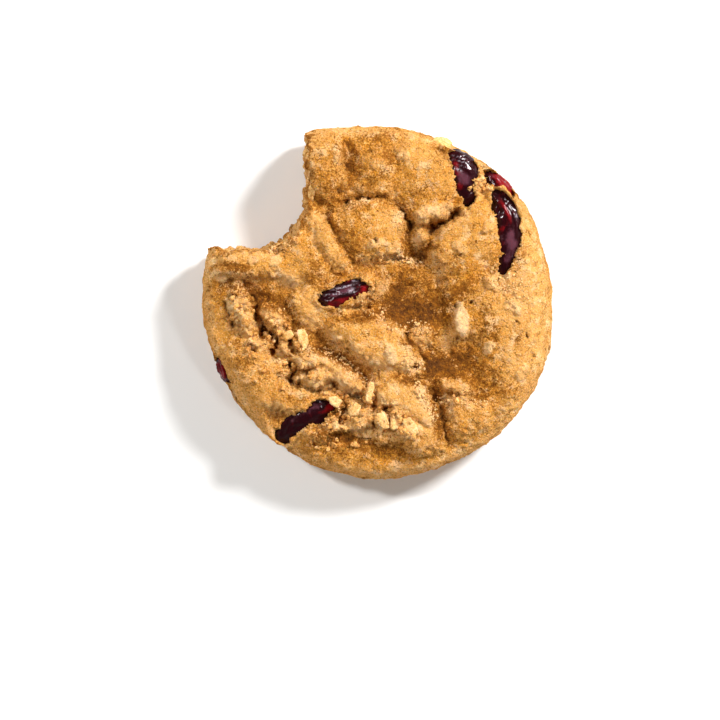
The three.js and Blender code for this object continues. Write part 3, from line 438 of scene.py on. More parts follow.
CRANBERRIES = (
    Berry("upper", "cranberry_upper", ((15.2, 30.8, 11.8), (18.4, 19.2, 10.6)), 7.2, 5.0, 0.6,
          faces=(0, 0, 1), wrinkles=(0.9, 4.0, 0.26, 0.7)),
    Berry("rim", "cranberry_rim", ((20.7, 26.4, 8.4), (27.4, 20.8, 7.6)), 4.4, 4.0, 0.3,
          faces=(0.62, 0.56, 0.55), wrinkles=(2.6, 1.0, 0.36, 0.0)),
    Berry("right", "cranberry_right", ((24.5, 23.4, 12.0), (25.9, 5.3, 11.6)), 6.2, 4.6, 2.0,
          faces=(0, 0, 1), wrinkles=(2.6, 1.3, 0.36, 0.85)),
    Berry("centre", "cranberry_centre", ((-12.3, 0.2, 12.7), (-1.2, 3.6, 12.5)), 5.2, 4.6, -0.6,
          faces=(0, 0, 1), wrinkles=(4.0, 1.1, 0.40, 0.0)),
    Berry("left", "cranberry_left", ((-31.6, -9.8, 7.4), (-28.6, -16.2, 7.0)), 5.4, 4.4, 0.3,
          faces=(-0.86, -0.4, 0.3), wrinkles=(3.0, 1.4, 0.36, 0.0)),
    Berry("lower", "cranberry_lower", ((-8.4, -20.0, 11.6), (-21.0, -27.2, 9.3)), 6.6, 5.0, -0.6,
          faces=(-0.18, -0.3, 0.94), wrinkles=(6.0, 1.6, 0.30, 0.0)),
)

# The holes in the crust that the berries show through, as outlines in plan.
OPENINGS = {
    "left": (
        (-36.0, -10.6), (-31.9, -11.0), (-31.0, -12.6), (-30.4, -13.8), (-29.3, -15.9), (-31.5, -18.0),
        (-36.0, -14.0),
    ),
    "upper": (
        (13.3, 30.8), (16.0, 31.1), (19.5, 29.2), (20.3, 27.8), (19.8, 26.4), (19.4, 25.2),
        (18.6, 24.5), (17.5, 24.0), (17.5, 22.9), (18.9, 22.3), (19.6, 21.4), (19.2, 20.3),
        (17.3, 19.1), (17.0, 20.9), (16.2, 22.4), (15.7, 23.6), (16.0, 25.2), (15.0, 27.2),
        (14.6, 29.2),
    ),
    "rim": (
        (21.5, 26.6), (22.5, 28.4), (25.8, 27.6), (28.9, 24.5), (29.0, 22.0), (27.2, 21.5),
        (26.2, 22.5), (24.1, 23.3), (23.0, 23.7), (22.1, 24.9),
    ),
    "right": (
        (22.1, 22.4), (23.3, 23.0), (25.6, 22.3), (27.6, 20.5), (28.6, 18.2), (28.6, 16.2),
        (28.4, 13.9), (27.9, 11.0), (27.0, 8.6), (25.9, 6.6), (25.2, 5.6), (23.9, 6.6),
        (24.6, 8.6), (25.8, 9.7), (24.9, 11.4), (24.3, 13.9), (23.9, 16.2), (23.3, 19.1),
        (23.0, 21.1),
    ),
    "centre": (
        (-12.1, 0.8), (-10.5, 2.0), (-8.3, 3.6), (-6.4, 4.5), (-4.8, 4.8), (-3.7, 4.2),
        (-3.2, 3.7), (-2.2, 3.6), (-1.7, 2.9), (-2.4, 2.4), (-3.3, 2.4), (-4.1, 1.7),
        (-5.4, 1.2), (-6.9, 0.3), (-8.8, -0.7), (-11.2, -0.2),
    ),
    "lower": (
        (-14.6, -21.8), (-12.3, -19.5), (-11.4, -18.8), (-10.2, -19.9), (-8.6, -21.0), (-10.1, -22.6),
        (-12.3, -23.8), (-13.9, -24.7), (-15.6, -25.5), (-17.5, -26.8), (-18.6, -29.6), (-22.4, -27.2),
        (-21.1, -26.0), (-19.2, -25.2), (-17.8, -23.4), (-16.3, -22.3),
    ),
}

# The dough over a berry: how far it is drawn past the berry's sides, over its top and down from
# its axis, how far inside the berry's edge its hole keeps, and how far under the axis it goes.
DRAWN_PAST = 0.5
DRAWN_OVER = 0.34
DRAWN_DOWN = 1.2
HOLE_INSET = 0.35
HOLE_FLOOR = 0.8

# Where the berries' flesh shows red, and where a painted purple sheen lies, the soft lamps'
# reflection in the smooth skin: middle, half sizes, turn, strength.
RED_PLACES = (
    ((15.8, 27.0), (0.7, 1.8), 8, 0.6),
    ((16.6, 23.6), (0.9, 1.0), 0, 0.6),
    ((26.0, 24.0), (3.6, 1.8), -40, 0.95),
    ((25.9, 18.2), (0.4, 2.2), 25, 0.9),
    ((24.6, 14.4), (1.6, 0.5), 50, 0.7),
    ((24.4, 19.6), (0.7, 1.6), 0, 0.35),
    ((-2.4, 2.9), (1.1, 0.8), 20, 0.9),
    ((-7.6, 0.2), (3.4, 0.7), 20, 0.7),
    ((-6.4, 4.5), (2.2, 0.5), 15, 0.6),
    ((-9.6, -21.0), (0.9, 1.0), 0, 1.3),
    ((-31.0, -13.0), (2.0, 3.0), 0, 0.6),
)
SHEEN_PLACES = (
    ((26.8, 12.2), (1.3, 3.2), 12, 0.8),
    ((17.3, 24.8), (1.6, 1.4), -15, 0.95),
    ((26.0, 8.4), (0.9, 2.0), 10, 0.45),
    ((-7.2, 2.2), (2.8, 0.7), 22, 0.75),
    ((-12.6, -20.8), (2.4, 0.8), 30, 0.5),
    ((23.2, 25.6), (1.2, 0.6), -30, 0.4),
    ((-16.6, -23.2), (2.6, 0.6), 30, 0.35),
)
# Thin pale painted glints along the wrinkles: middle, half sizes, turn, strength.
PAINTED_GLINTS = (
    ((-6.7, 3.2), (1.9, 0.16), 14, 1.0),
    ((-8.4, 1.75), (1.9, 0.14), 4, 0.8),
    ((-5.3, 2.5), (0.6, 0.35), 30, 0.9),
    ((-4.7, 4.6), (0.6, 0.3), -10, 0.7),
    ((16.4, 29.2), (1.3, 0.12), -14, 0.5),
    ((16.9, 28.3), (1.4, 0.12), -16, 0.5),
    ((16.9, 27.4), (1.0, 0.10), -16, 0.4),
    ((16.2, 26.6), (0.75, 0.26), -32, 0.8),
    ((-12.0, -19.6), (0.9, 0.12), -20, 1.0),
    ((27.8, 17.4), (0.3, 0.5), 0, 0.8),
)

# ------------------------------------------------------------------ oat flakes

# Flakes baked in flush with the crust: middle, half length and half width, turn, paleness.
FLUSH_FLAKES = (
    ((16.8, -3.2), (3.5, 1.55), 98, 1.0),
    ((22.3, -8.8), (1.6, 1.0), 52, 0.7),
    ((-29.5, -0.9), (2.4, 0.5), 111, 0.8),
    ((2.6, -10.2), (2.3, 1.2), 108, 0.7),
    ((-31.6, 5.5), (1.7, 1.0), 140, 0.6),
    ((16.4, 11.0), (1.8, 1.2), 130, 0.45),
    ((-20.4, 8.4), (1.5, 1.1), 60, 0.5),
    ((-24.8, 8.4), (1.3, 0.9), 20, 0.5),
    ((0.2, 12.1), (1.6, 0.9), -15, 0.4),
    ((2.9, 11.2), (1.6, 1.1), -30, 0.4),
    ((0.0, 27.6), (1.8, 1.2), 10, 0.3),
    ((18.0, -17.6), (1.8, 1.1), -30, 0.4),
    ((11.0, 18.6), (4.4, 1.3), 12, 0.5),
    ((1.0, -19.3), (1.7, 0.8), 110, 0.5),
    ((0.2, -25.0), (2.6, 1.4), 62, 0.35),
    ((9.0, -17.2), (1.4, 1.0), 30, 0.5),
    ((-8.0, 30.2), (2.0, 0.9), 80, 0.35),
    ((5.0, 29.6), (1.7, 1.0), -30, 0.3),
    ((22.4, 15.6), (2.0, 1.1), 60, 0.3),
    ((27.0, -1.0), (2.1, 1.0), 150, 0.35),
    ((29.0, -14.0), (1.8, 1.1), 60, 0.3),
    ((-4.0, -9.0), (1.7, 1.0), -28, 0.35),
    ((-18.2, -13.8), (1.8, 1.1), 30, 0.3),
    ((-27.0, -15.0), (1.8, 1.0), -50, 0.25),
)
FLAKE_RISE = 0.34

# Flakes that stand out of the broken places: middle, length, width, turn, how far they stand
# proud, paleness.
PROUD_FLAKES = (
    ((-15.0, -7.0), 4.8, 2.2, 98, 0.5, 0.35),
    ((-17.9, -6.3), 2.4, 1.8, 30, 0.45, 0.2),
    ((-8.5, -19.7), 3.2, 2.0, -30, 0.3, 0.6),
    ((-1.6, -17.8), 4.6, 1.5, 76, 0.4, 0.5),
    ((1.0, -23.4), 4.0, 2.3, 112, 0.25, 0.5),
    ((3.9, -23.4), 4.6, 2.6, 74, 0.15, 0.35),
    ((6.6, -24.6), 4.4, 2.5, 132, 0.1, 0.3),
    ((-1.9, -26.0), 3.0, 2.4, 20, 0.15, 0.4),
    ((-4.6, -21.4), 3.2, 2.2, 60, 0.1, 0.3),
    ((2.4, -26.2), 3.4, 2.2, 35, 0.1, 0.3),
    ((12.9, 32.0), 5.4, 2.9, -22, 0.3, 0.2),
    ((-13.1, 22.4), 4.4, 1.5, 84, 0.1, 0.2),
    ((-33.0, 8.1), 2.6, 1.6, 15, 0.1, 0.4),
)
FLAKE_THICKNESS = 0.75
FLAKE_SUNK = 0.15
FLAKE_RINGS = 5
FLAKE_SIDES = 40

# ------------------------------------------------------------------ stage

FLOOR_REACH = 2000.0

# The middle of the photograph lies here in the plane of the face.
FRAME_MIDDLE = (-3.5, -11.4)

# Distance and size of the main light, in metres.
KEY_DISTANCE = 0.9
KEY_SIZE = 0.22

# Soft panels: name, distance and size in metres, share of the panel strength, direction from +X
# and angle over the floor in degrees.
SIDE_PANELS = (
    ("left_panel", 0.7, 0.10, 3.4, 150, 50),
    ("lower_panel", 0.7, 0.09, 1.0, -40, 42),
)

# Light from all round, from the sides and from straight above.
WALL_LIGHT = (1.04, 0.98, 0.87)
CEILING_LIGHT = (0.23, 0.215, 0.19)

# ------------------------------------------------------------------ noise

RANDOM = np.random.default_rng(20)
SHUFFLE = RANDOM.permutation(256)
DIRECTIONS = RANDOM.normal(size=(256, 3))
DIRECTIONS /= np.linalg.norm(DIRECTIONS, axis=1, keepdims=True)
JITTER = RANDOM.uniform(0.08, 0.92, size=(256, 3))
CORNERS = [(i, j, k) for i in (0, 1) for j in (0, 1) for k in (0, 1)]
NEIGHBOURS = [(i, j, k) for i in (-1, 0, 1) for j in (-1, 0, 1) for k in (-1, 0, 1)]
# Farther than the middle of any nodule or chunk, in its sizes.
FAR = 9.0

# What makes edges ragged: reach, size, and the seeds of the shifts along X and along Y.
RAGGED_SLABS = ((0.60, 3.4, 1, 3), (0.38, 1.3, 2, 4), (0.24, 0.7, 5, 6))
RAGGED_OPENINGS = ((0.50, 1.9, 11, 13), (0.26, 0.8, 12, 14))
RAGGED_FLAKES = ((0.45, 1.3, 21, 23), (0.22, 0.6, 22, 24))


def cell_hash(cell):
    """A number from 0 to 255 for each whole-numbered cell."""
    mixed = SHUFFLE[cell[..., 0] & 255]
    mixed = SHUFFLE[(mixed + cell[..., 1]) & 255]
    return SHUFFLE[(mixed + cell[..., 2]) & 255]


def cells_of(points, size, seed):
    """Points in units of the noise's size, and the cell that each one lies in."""
    place = points / size + np.array((seed * 17.31, seed * -9.73, seed * 5.19))
    return place, np.floor(place).astype(np.int64)


def swell_noise(points, size, seed):
    """Smooth noise of about -1 to 1, with features of the given size."""
    place, cell = cells_of(points, size, seed)
    part = place - cell
    fade = part ** 3 * (part * (part * 6 - 15) + 10)
    total = np.zeros(len(points))
    for corner in CORNERS:
        corner = np.array(corner)
        gradient = DIRECTIONS[cell_hash(cell + corner)]
        weight = np.prod(np.where(corner, fade, 1 - fade), axis=1)
        total += weight * np.einsum("ij,ij->i", gradient, part - corner)
    return total * 1.7


def layered_noise(points, size, seed, layers=3):
    """Swell noise with finer and weaker layers on top."""
    total = np.zeros(len(points))
    for layer in range(layers):
        total += 0.5 ** layer * swell_noise(points, size / 2 ** layer, seed + 7 * layer)
    return total


def nodule_noise(points, size, seed):
    """The distance to the nearest of the scattered nodule middles, in sizes."""
    place, cell = cells_of(points, size, seed)
    nearest = np.full(len(points), FAR)
    for step in NEIGHBOURS:
        other = cell + np.array(step)
        gap = np.linalg.norm(other + JITTER[cell_hash(other)] - place, axis=1)
        nearest = np.minimum(nearest, gap)
    return nearest


def chunk_noise(points, size, seed):
    """Tilted flat-topped chunks: each place's height, about -0.5 to 0.5, and its gap to the next chunk."""
    place, cell = cells_of(points, size, seed)
    nearest = np.full(len(points), FAR)
    second = np.full(len(points), FAR)
    top = np.zeros(len(points))
    for step in NEIGHBOURS:
        other = cell + np.array(step)
        code = cell_hash(other)
        away = place - other - JITTER[code]
        gap = np.linalg.norm(away, axis=1)
        tilted = JITTER[code, 0] - 0.5 + 0.55 * np.einsum("ij,ij->i", DIRECTIONS[code], away)
        top = np.where(gap < nearest, tilted, top)
        second = np.minimum(second, np.maximum(nearest, gap))
        nearest = np.minimum(nearest, gap)
    return top, second - nearest


def wandering(points):
    """A small wandering shift, which keeps nodules from looking like cells."""
    return np.stack([swell_noise(points, 1.6, seed) for seed in (41, 42, 43)], axis=1)


def ragged(x, y, waves):
    """Places in plan, shifted about so that the edges read from them get ragged."""
    flat = np.stack([x, y, np.zeros_like(x)], axis=-1)
    px, py = x, y
    for reach, size, seed_x, seed_y in waves:
        px = px + reach * swell_noise(flat, size, seed_x)
        py = py + reach * swell_noise(flat, size, seed_y)
    return px, py


def smooth_step(low, high, value):
    """0 at low and 1 at high, smooth between; low may be the larger one."""
    t = np.clip((value - low) / (high - low), 0, 1)
    return t * t * (3 - 2 * t)


# ------------------------------------------------------------------ shape functions, in mm

def ellipse_place(x, y, middle, half, turn, power):
    """How far out in a turned ellipse each place is: 0 in the middle, 1 on the edge."""
    cos, sin = math.cos(math.radians(turn)), math.sin(math.radians(turn))
    along = ((x - middle[0]) * cos + (y - middle[1]) * sin) / half[0]
    across = ((y - middle[1]) * cos - (x - middle[0]) * sin) / half[1]
    return (along ** 2 + across ** 2) ** (power / 2)


def nearest_on_way(x, y, way):
    """The distance to a bent line in plan, and how far along it the nearest place is."""
    distance = np.full(np.shape(x), np.inf)
    share = np.zeros(np.shape(x))
    for index in range(len(way) - 1):
        ax, ay = way[index][0], way[index][1]
        dx, dy = way[index + 1][0] - ax, way[index + 1][1] - ay
        t = np.clip(((x - ax) * dx + (y - ay) * dy) / (dx * dx + dy * dy), 0, 1)
        gap = np.hypot(x - ax - t * dx, y - ay - t * dy)
        closer = gap < distance
        distance = np.where(closer, gap, distance)
        share = np.where(closer, (index + t) / (len(way) - 1), share)
    return distance, share


def inside_distance(x, y, outline):
    """The distance to a closed outline in plan, positive inside and negative outside."""
    closed = (*outline, outline[0])
    distance, _ = nearest_on_way(x, y, closed)
    inside = np.zeros(np.shape(x), dtype=bool)
    for (ax, ay), (bx, by) in zip(closed, closed[1:]):
        spans = (ay > y) != (by > y)
        if ay != by:
            inside ^= spans & (x < ax + (y - ay) * (bx - ax) / (by - ay))
    return np.where(inside, distance, -distance)


def flake_cover(x, y):
    """How surely each place lies on a flush flake, and how pale that flake is."""
    px, py = ragged(x, y, RAGGED_FLAKES)
    cover = np.zeros(np.shape(x))
    paleness = np.zeros(np.shape(x))
    for middle, half, turn, pale in FLUSH_FLAKES:
        on = smooth_step(1.12, 0.86, ellipse_place(px, py, middle, half, turn, 2))
        cover = np.maximum(cover, on)
        paleness = np.maximum(paleness, on * pale)
    return cover, paleness


def patches(x, y, places):
    """The summed strength of soft elliptical patches."""
    total = np.zeros(np.shape(x))
    for middle, half, turn, strength in places:
        total += strength * np.exp(-ellipse_place(x, y, middle, half, turn, 2.4))
    return total


class Dough:
    """The round dough's surface, worked out from the sizes in the scene's settings."""

    def __init__(self, sizes):
        self.radius = sizes.mean_radius / MM
        self.plateau = sizes.plateau_height / MM
        self.waist = sizes.waist_height / MM
        self.shoulder = sizes.shoulder_run / MM
        self.foot = sizes.foot_run / MM
        self.fullness = sizes.shoulder_fullness
        self.depth = sizes.relief_depth

    def outline(self, angle):
        """The outline's radius in each direction."""
        radius = self.radius
        for number, (height, towards) in enumerate(OUTLINE_WAVES, 1):
            radius = radius + height * np.cos(number * (angle - math.radians(towards)))
        height, towards, half = OUTLINE_BULGE
        away = (np.degrees(angle) - towards + 180) % 360 - 180
        return radius + height * np.exp(-(away / half) ** 2)

    def inset(self, x, y):
        """How far inside the outline each place lies."""
        return self.outline(np.arctan2(y, x)) - np.hypot(x, y)

    def relief(self, x, y):
        """The height of the baked face over the plateau."""
        px, py = ragged(x, y, RAGGED_SLABS)
        height = np.full(np.shape(x), RELIEF_FLOOR)
        for middle, half, turn, top, (towards, slope), power in SLABS:
            run = (px - middle[0]) * math.cos(math.radians(towards))
            run = run + (py - middle[1]) * math.sin(math.radians(towards))
            crown = top - SLAB_CROWN * ellipse_place(px, py, middle, half, turn, power) - slope * run
            blend = np.maximum(CREASE_BLEND - np.abs(height - crown), 0)
            height = np.maximum(height, crown) + blend ** 2 / (4 * CREASE_BLEND)
        for middle, half, turn, rise, power in SWELLS:
            height = height + rise * np.exp(-ellipse_place(px, py, middle, half, turn, power))
        for way, deep, half in CRACKS:
            distance, share = nearest_on_way(px, py, way)
            ends = 0.2 + 0.8 * smooth_step(0, 0.12, share) * smooth_step(0, 0.12, 1 - share)
            height = height - deep * ends * np.exp(-(distance / half) ** 1.6)
        for middle, radius, deep in PITS:
            height = height - deep * np.exp(-ellipse_place(px, py, middle, (radius, radius), 0, 3))
        return height * self.depth + FLAKE_RISE * flake_cover(x, y)[0]

    def relief_share(self, inset):
        """How much of the relief is left near the outline."""
        return smooth_step(0.2, 4.0, inset)

    def plain_height(self, inset):
        """The height of the face without its relief."""
        t = np.clip(1 - inset / self.shoulder, 0, 1)
        rise = (1 - t ** self.fullness) ** (1 / self.fullness)
        return self.waist + (self.plateau - self.waist) * rise

    def pressed(self, x, y, z):
        """The surface with a hole over each berry, and dough drawn over the berry's sides."""
        px, py = ragged(x, y, RAGGED_OPENINGS)
        plain = z
        for berry in CRANBERRIES:
            distance, share = nearest_on_way(x, y, berry_way(berry))
            start, end = berry.ends
            axis = start[2] + (end[2] - start[2]) * share
            half = berry.width / 2
            across = np.clip(distance / (half + DRAWN_PAST), 0, 1)
            over = axis + (berry.thick / 2 + DRAWN_OVER) * np.sqrt(1 - across ** 2)
            covered = (distance < half + DRAWN_PAST) & (z > axis - DRAWN_DOWN)
            covered |= (distance < half - DRAWN_PAST) & (plain > axis - DRAWN_DOWN)
            z = np.where(covered, np.maximum(z, over), z)
            inside = inside_distance(px, py, OPENINGS[berry.name])
            within = np.minimum(inside, berry_inset(x, y, berry) - HOLE_INSET)
            hole = smooth_step(-0.35, 0.20, within)
            floor = axis - HOLE_FLOOR
            z = np.where(z > floor, z + (floor - z) * hole, z)
        return z


def berry_way(berry):
    """The berry's bowed axis in plan, as a short bent line."""
    start, end = (np.array(place[:2]) for place in berry.ends)
    along = (end - start) / np.linalg.norm(end - start)
    across = np.array((-along[1], along[0]))
    way = []
    for t in (0.14, 0.3, 0.5, 0.7, 0.86):
        x = 2 * t - 1
        way.append(tuple(start + (end - start) * t + across * (berry.bow * (1 - x * x) - berry.bow / 2)))
    return way


def berry_inset(x, y, berry):
    """How far inside a berry's plan each place lies, roughly."""
    start, end = (np.array(place[:2]) for place in berry.ends)
    length = np.linalg.norm(end - start)
    along = (end - start) / length
    middle = (start + end) / 2
    run = 2 * ((x - middle[0]) * along[0] + (y - middle[1]) * along[1]) / length
    across = (y - middle[1]) * along[0] - (x - middle[0]) * along[1]
    across = across - berry.bow * (1 - run ** 2) + berry.bow / 2
    return (1 - np.sqrt(np.abs(run) ** 2.35 + (2 * across / berry.width) ** 2)) * berry.width / 2


# ------------------------------------------------------------------ meshes

def mesh_object(name, points, triangles):
    """A mesh object from points in mm and triangles."""
    mesh = bpy.data.meshes.new(name)
    points = np.asarray(points, dtype=np.float32) * MM
    triangles = np.asarray(triangles, dtype=np.int32)
    mesh.vertices.add(len(points))
    mesh.vertices.foreach_set("co", points.ravel())
    mesh.loops.add(triangles.size)
    mesh.loops.foreach_set("vertex_index", triangles.ravel())
    mesh.polygons.add(len(triangles))
    mesh.polygons.foreach_set("loop_start", np.arange(0, triangles.size, 3, dtype=np.int32))
    mesh.polygons.foreach_set("use_smooth", np.ones(len(triangles), dtype=bool))
    mesh.update(calc_edges=True)
    mesh.validate()
    made = bpy.data.objects.new(name, mesh)
    bpy.context.scene.collection.objects.link(made)
    return made


def points_of(mesh):
    """A mesh's points, in mm."""
    points = np.empty(len(mesh.vertices) * 3, dtype=np.float32)
    mesh.vertices.foreach_get("co", points)
    return points.reshape(-1, 3).astype(float) / MM


def triangles_of(mesh):
    mesh.calc_loop_triangles()
    corners = np.empty(len(mesh.loop_triangles) * 3, dtype=np.int32)
    mesh.loop_triangles.foreach_get("vertices", corners)
    return corners.reshape(-1, 3)


def point_normals(points, triangles):
    corners = points[triangles]
    face = np.cross(corners[:, 1] - corners[:, 0], corners[:, 2] - corners[:, 0])
    total = np.zeros_like(points)
    for corner in range(3):
        for axis in range(3):
            total[:, axis] += np.bincount(triangles[:, corner], face[:, axis], len(points))
    return total / np.maximum(np.linalg.norm(total, axis=1, keepdims=True), 1e-12)


def unit_ball(subdivisions):
    """The points and triangles of an even ball of radius 1."""
    ball = bmesh.new()
    bmesh.ops.create_icosphere(ball, subdivisions=subdivisions, radius=1)
    points = np.array([vertex.co[:] for vertex in ball.verts])
    faces = np.array([[vertex.index for vertex in face.verts] for face in ball.faces])
    ball.free()
    return points, faces


def zip_rings(faces, inner_start, inner_count, outer_start, outer_count):
    """Joins two rings of points with one band of triangles."""
    inner = outer = 0
    while inner < inner_count or outer < outer_count:
        a = inner_start + inner % inner_count
        b = outer_start + outer % outer_count
        inner_lags = (inner + 1) * outer_count < (outer + 1) * inner_count
        if outer >= outer_count or (inner < inner_count and inner_lags):
            faces.append((a, b, inner_start + (inner + 1) % inner_count))
            inner += 1
        else:
            faces.append((a, b, outer_start + (outer + 1) % outer_count))
            outer += 1


def skin_over_rings(top, rings, bottom):
    """A closed skin from the top middle, over the rings, to the bottom middle."""
    points = [np.array([top])]
    starts = []
    count = 1
    for ring in rings:
        starts.append(count)
        points.append(ring)
        count += len(ring)
    points.append(np.array([bottom]))
    faces = []
    first, last = len(rings[0]), len(rings[-1])
    for i in range(first):
        faces.append((0, 1 + i, 1 + (i + 1) % first))
    for index in range(len(rings) - 1):
        zip_rings(faces, starts[index], len(rings[index]), starts[index + 1], len(rings[index + 1]))
    for i in range(last):
        faces.append((count, starts[-1] + (i + 1) % last, starts[-1] + i))
    return np.concatenate(points), np.array(faces)


def add_float_attribute(mesh, name, values):
    attribute = mesh.attributes.new(name, "FLOAT", "POINT")
    attribute.data.foreach_set("value", np.asarray(values, dtype=np.float32))


def ring_angles(count):
    """Even angles round a ring of at least six points."""
    count = max(6, round(count))
    return 2 * math.pi * np.arange(count) / count


def ring_at(angle, radius, height):
    return np.stack([radius * np.cos(angle), radius * np.sin(angle), height + 0 * angle], axis=1)


def round_dough_mesh(dough, step, base_step):
    """The round cookie before its bite, with relief, side swell and grain."""
    rings = []
    plateau_radius = dough.radius - dough.shoulder
    plateau_rings = round(plateau_radius / step)
    for i in range(1, plateau_rings + 1):
        share = i / plateau_rings
        angle = ring_angles(2 * math.pi * share * plateau_radius / step)
        rings.append(ring_at(angle, share * (dough.outline(angle) - dough.shoulder), dough.plateau))
    rim = ring_angles(2 * math.pi * dough.radius / step)
    outline = dough.outline(rim)
    shoulder_rings = round(SHOULDER_ARC * dough.shoulder / step)
    for i in range(1, shoulder_rings + 1):
        climb = math.pi / 2 * (1 - i / shoulder_rings)
        run = math.cos(climb) ** (2 / dough.fullness)
        rise = math.sin(climb) ** (2 / dough.fullness)
        height = dough.waist + (dough.plateau - dough.waist) * rise
        rings.append(ring_at(rim, outline - dough.shoulder * (1 - run), height))
    foot_rings = round(FOOT_ARC * dough.foot / step)
    for i in range(1, foot_rings + 1):
        drop = math.pi / 2 * i / foot_rings
        height = dough.waist * (1 - math.sin(drop))
        rings.append(ring_at(rim, outline - dough.foot * (1 - math.cos(drop)), height))
    base_radius = dough.radius - dough.foot
    base_rings = round(base_radius / base_step)
    for i in range(base_rings - 1, 0, -1):
        share = i / base_rings
        angle = ring_angles(2 * math.pi * share * base_radius / base_step)
        rings.append(ring_at(angle, share * (dough.outline(angle) - dough.foot), 0))
    points, faces = skin_over_rings((0, 0, dough.plateau), rings, (0, 0, 0))
    return shaped_points(dough, points, faces), faces


def shaped_points(dough, points, faces):
    """Moves the plain rounded slab's points out to the real uneven surface."""
    x, y, z = points.T
    inset = dough.inset(x, y)
    upper = smooth_step(dough.waist + 0.5, dough.waist + 3.5, z)
    relief = dough.relief(x, y) * dough.relief_share(inset) * upper
    raised = dough.pressed(x, y, z + relief)
    moved = np.stack([x, y, np.where(z > dough.waist, raised, z)], axis=1)
    clear_of_base = smooth_step(0.0, 1.2, moved[:, 2])
    swell = side_swell(moved, 1 - smooth_step(0.5, 5.0, inset))
    moved = moved + point_normals(moved, faces) * (swell * clear_of_base)[:, None]
    normals = point_normals(moved, faces)
    crumbled = np.clip(patches(x, y, CRUMBLED), 0, 1) * upper
    sandy = np.clip(patches(x, y, SANDY), 0, 1) * upper
    steep = smooth_step(0.93, 0.70, normals[:, 2]) * upper * smooth_step(1.0, 5.0, inset)
    grain = face_grain(moved, crumbled, sandy, steep)
    return moved + normals * (grain * clear_of_base)[:, None]


def side_swell(points, side):
    """How far the dough bulges: broad swells on the side, and soft folds all over."""
    swell = 0.40 * swell_noise(points, 9.0, seed=30) * side
    billow = np.abs(swell_noise(points, 4.6, seed=31)) - 0.28
    small_billow = np.abs(swell_noise(points, 2.1, seed=32)) - 0.28
    return swell + 0.50 * billow + 0.26 * small_billow


def face_grain(points, crumbled, sandy, steep):
    """How far the fine relief stands out: chunks in crumbled places, nodules in the others."""
    wander = wandering(points)
    large, large_edge = chunk_noise(points + 0.45 * wander, 2.7, seed=37)
    small, small_edge = chunk_noise(points + 0.25 * wander, 1.25, seed=39)
    nodule = nodule_noise(points + 0.35 * wander, 1.15, seed=33)
    fine = nodule_noise(points + 0.1 * wander, 0.55, seed=35)
    gaps = np.exp(-(large_edge / 0.15) ** 2) * smooth_step(-0.3, 0.4, swell_noise(points, 3.4, seed=38))
    seams = np.exp(-(small_edge / 0.16) ** 2)
    grain = crumbled * (1.1 * large + 0.75 * small - 0.75 * gaps - 0.25 * seams + 0.15)
    grain = grain + (0.18 + 0.20 * sandy + 0.50 * steep) * np.maximum(0.5 - nodule, -0.2 - 0.3 * steep)
    grain = grain + (0.20 + 0.40 * sandy + 0.35 * steep) * np.maximum(0.5 - fine, -0.1 - 0.3 * steep)
    return grain + 0.12 * layered_noise(points, 0.9, seed=36, layers=2)


def wall_pockets(points):
    """Where the crumb of the bite's wall has an open pocket."""
    return smooth_step(0.25, 0.60, swell_noise(points, 1.7, seed=53))


def wall_crumb(points):
    """How far the torn crumb of the bite's wall stands back from a plain wall."""
    wander = wandering(points)
    crumb, crumb_edge = chunk_noise(points + 0.3 * wander, 2.2, seed=50)
    fine = nodule_noise(points + 0.2 * wander, 0.9, seed=51)
    wall = 0.45 * layered_noise(points, 3.0, seed=52) - 0.7 * crumb
    wall = wall + 0.5 * np.exp(-(crumb_edge / 0.16) ** 2)
    return wall + 0.35 * (fine - 0.5) + 0.9 * wall_pockets(points)


def bite_path(sizes, far, step):
    """The bite's wall in plan, its normals, and how far round the corner each place is."""
    side_x, lower_y = sizes.bite_side / MM, sizes.bite_lower / MM
    corner = sizes.bite_corner / MM
    middle = np.array((side_x - corner, lower_y + corner))
    count = round((middle[0] + far) / step)
    path = [(-far + (middle[0] + far) * i / count, lower_y) for i in range(count)]
    arc = round(corner * math.pi / 2 / step)
    for i in range(arc + 1):
        angle = -math.pi / 2 + math.pi / 2 * i / arc
        path.append((middle[0] + corner * math.cos(angle), middle[1] + corner * math.sin(angle)))
    count = round((far - middle[1]) / step)
    path += [(side_x, middle[1] + (far - middle[1]) * i / count) for i in range(1, count + 1)]
    path = np.array(path)
    normal = np.stack([np.maximum(path[:, 0] - middle[0], 0), np.minimum(path[:, 1] - middle[1], 0)], axis=1)
    normal /= np.linalg.norm(normal, axis=1, keepdims=True)
    turn = -np.arctan2(normal[:, 1], normal[:, 0])
    return path, normal, np.sin(np.pi * np.clip(turn / (math.pi / 2), 0, 1))


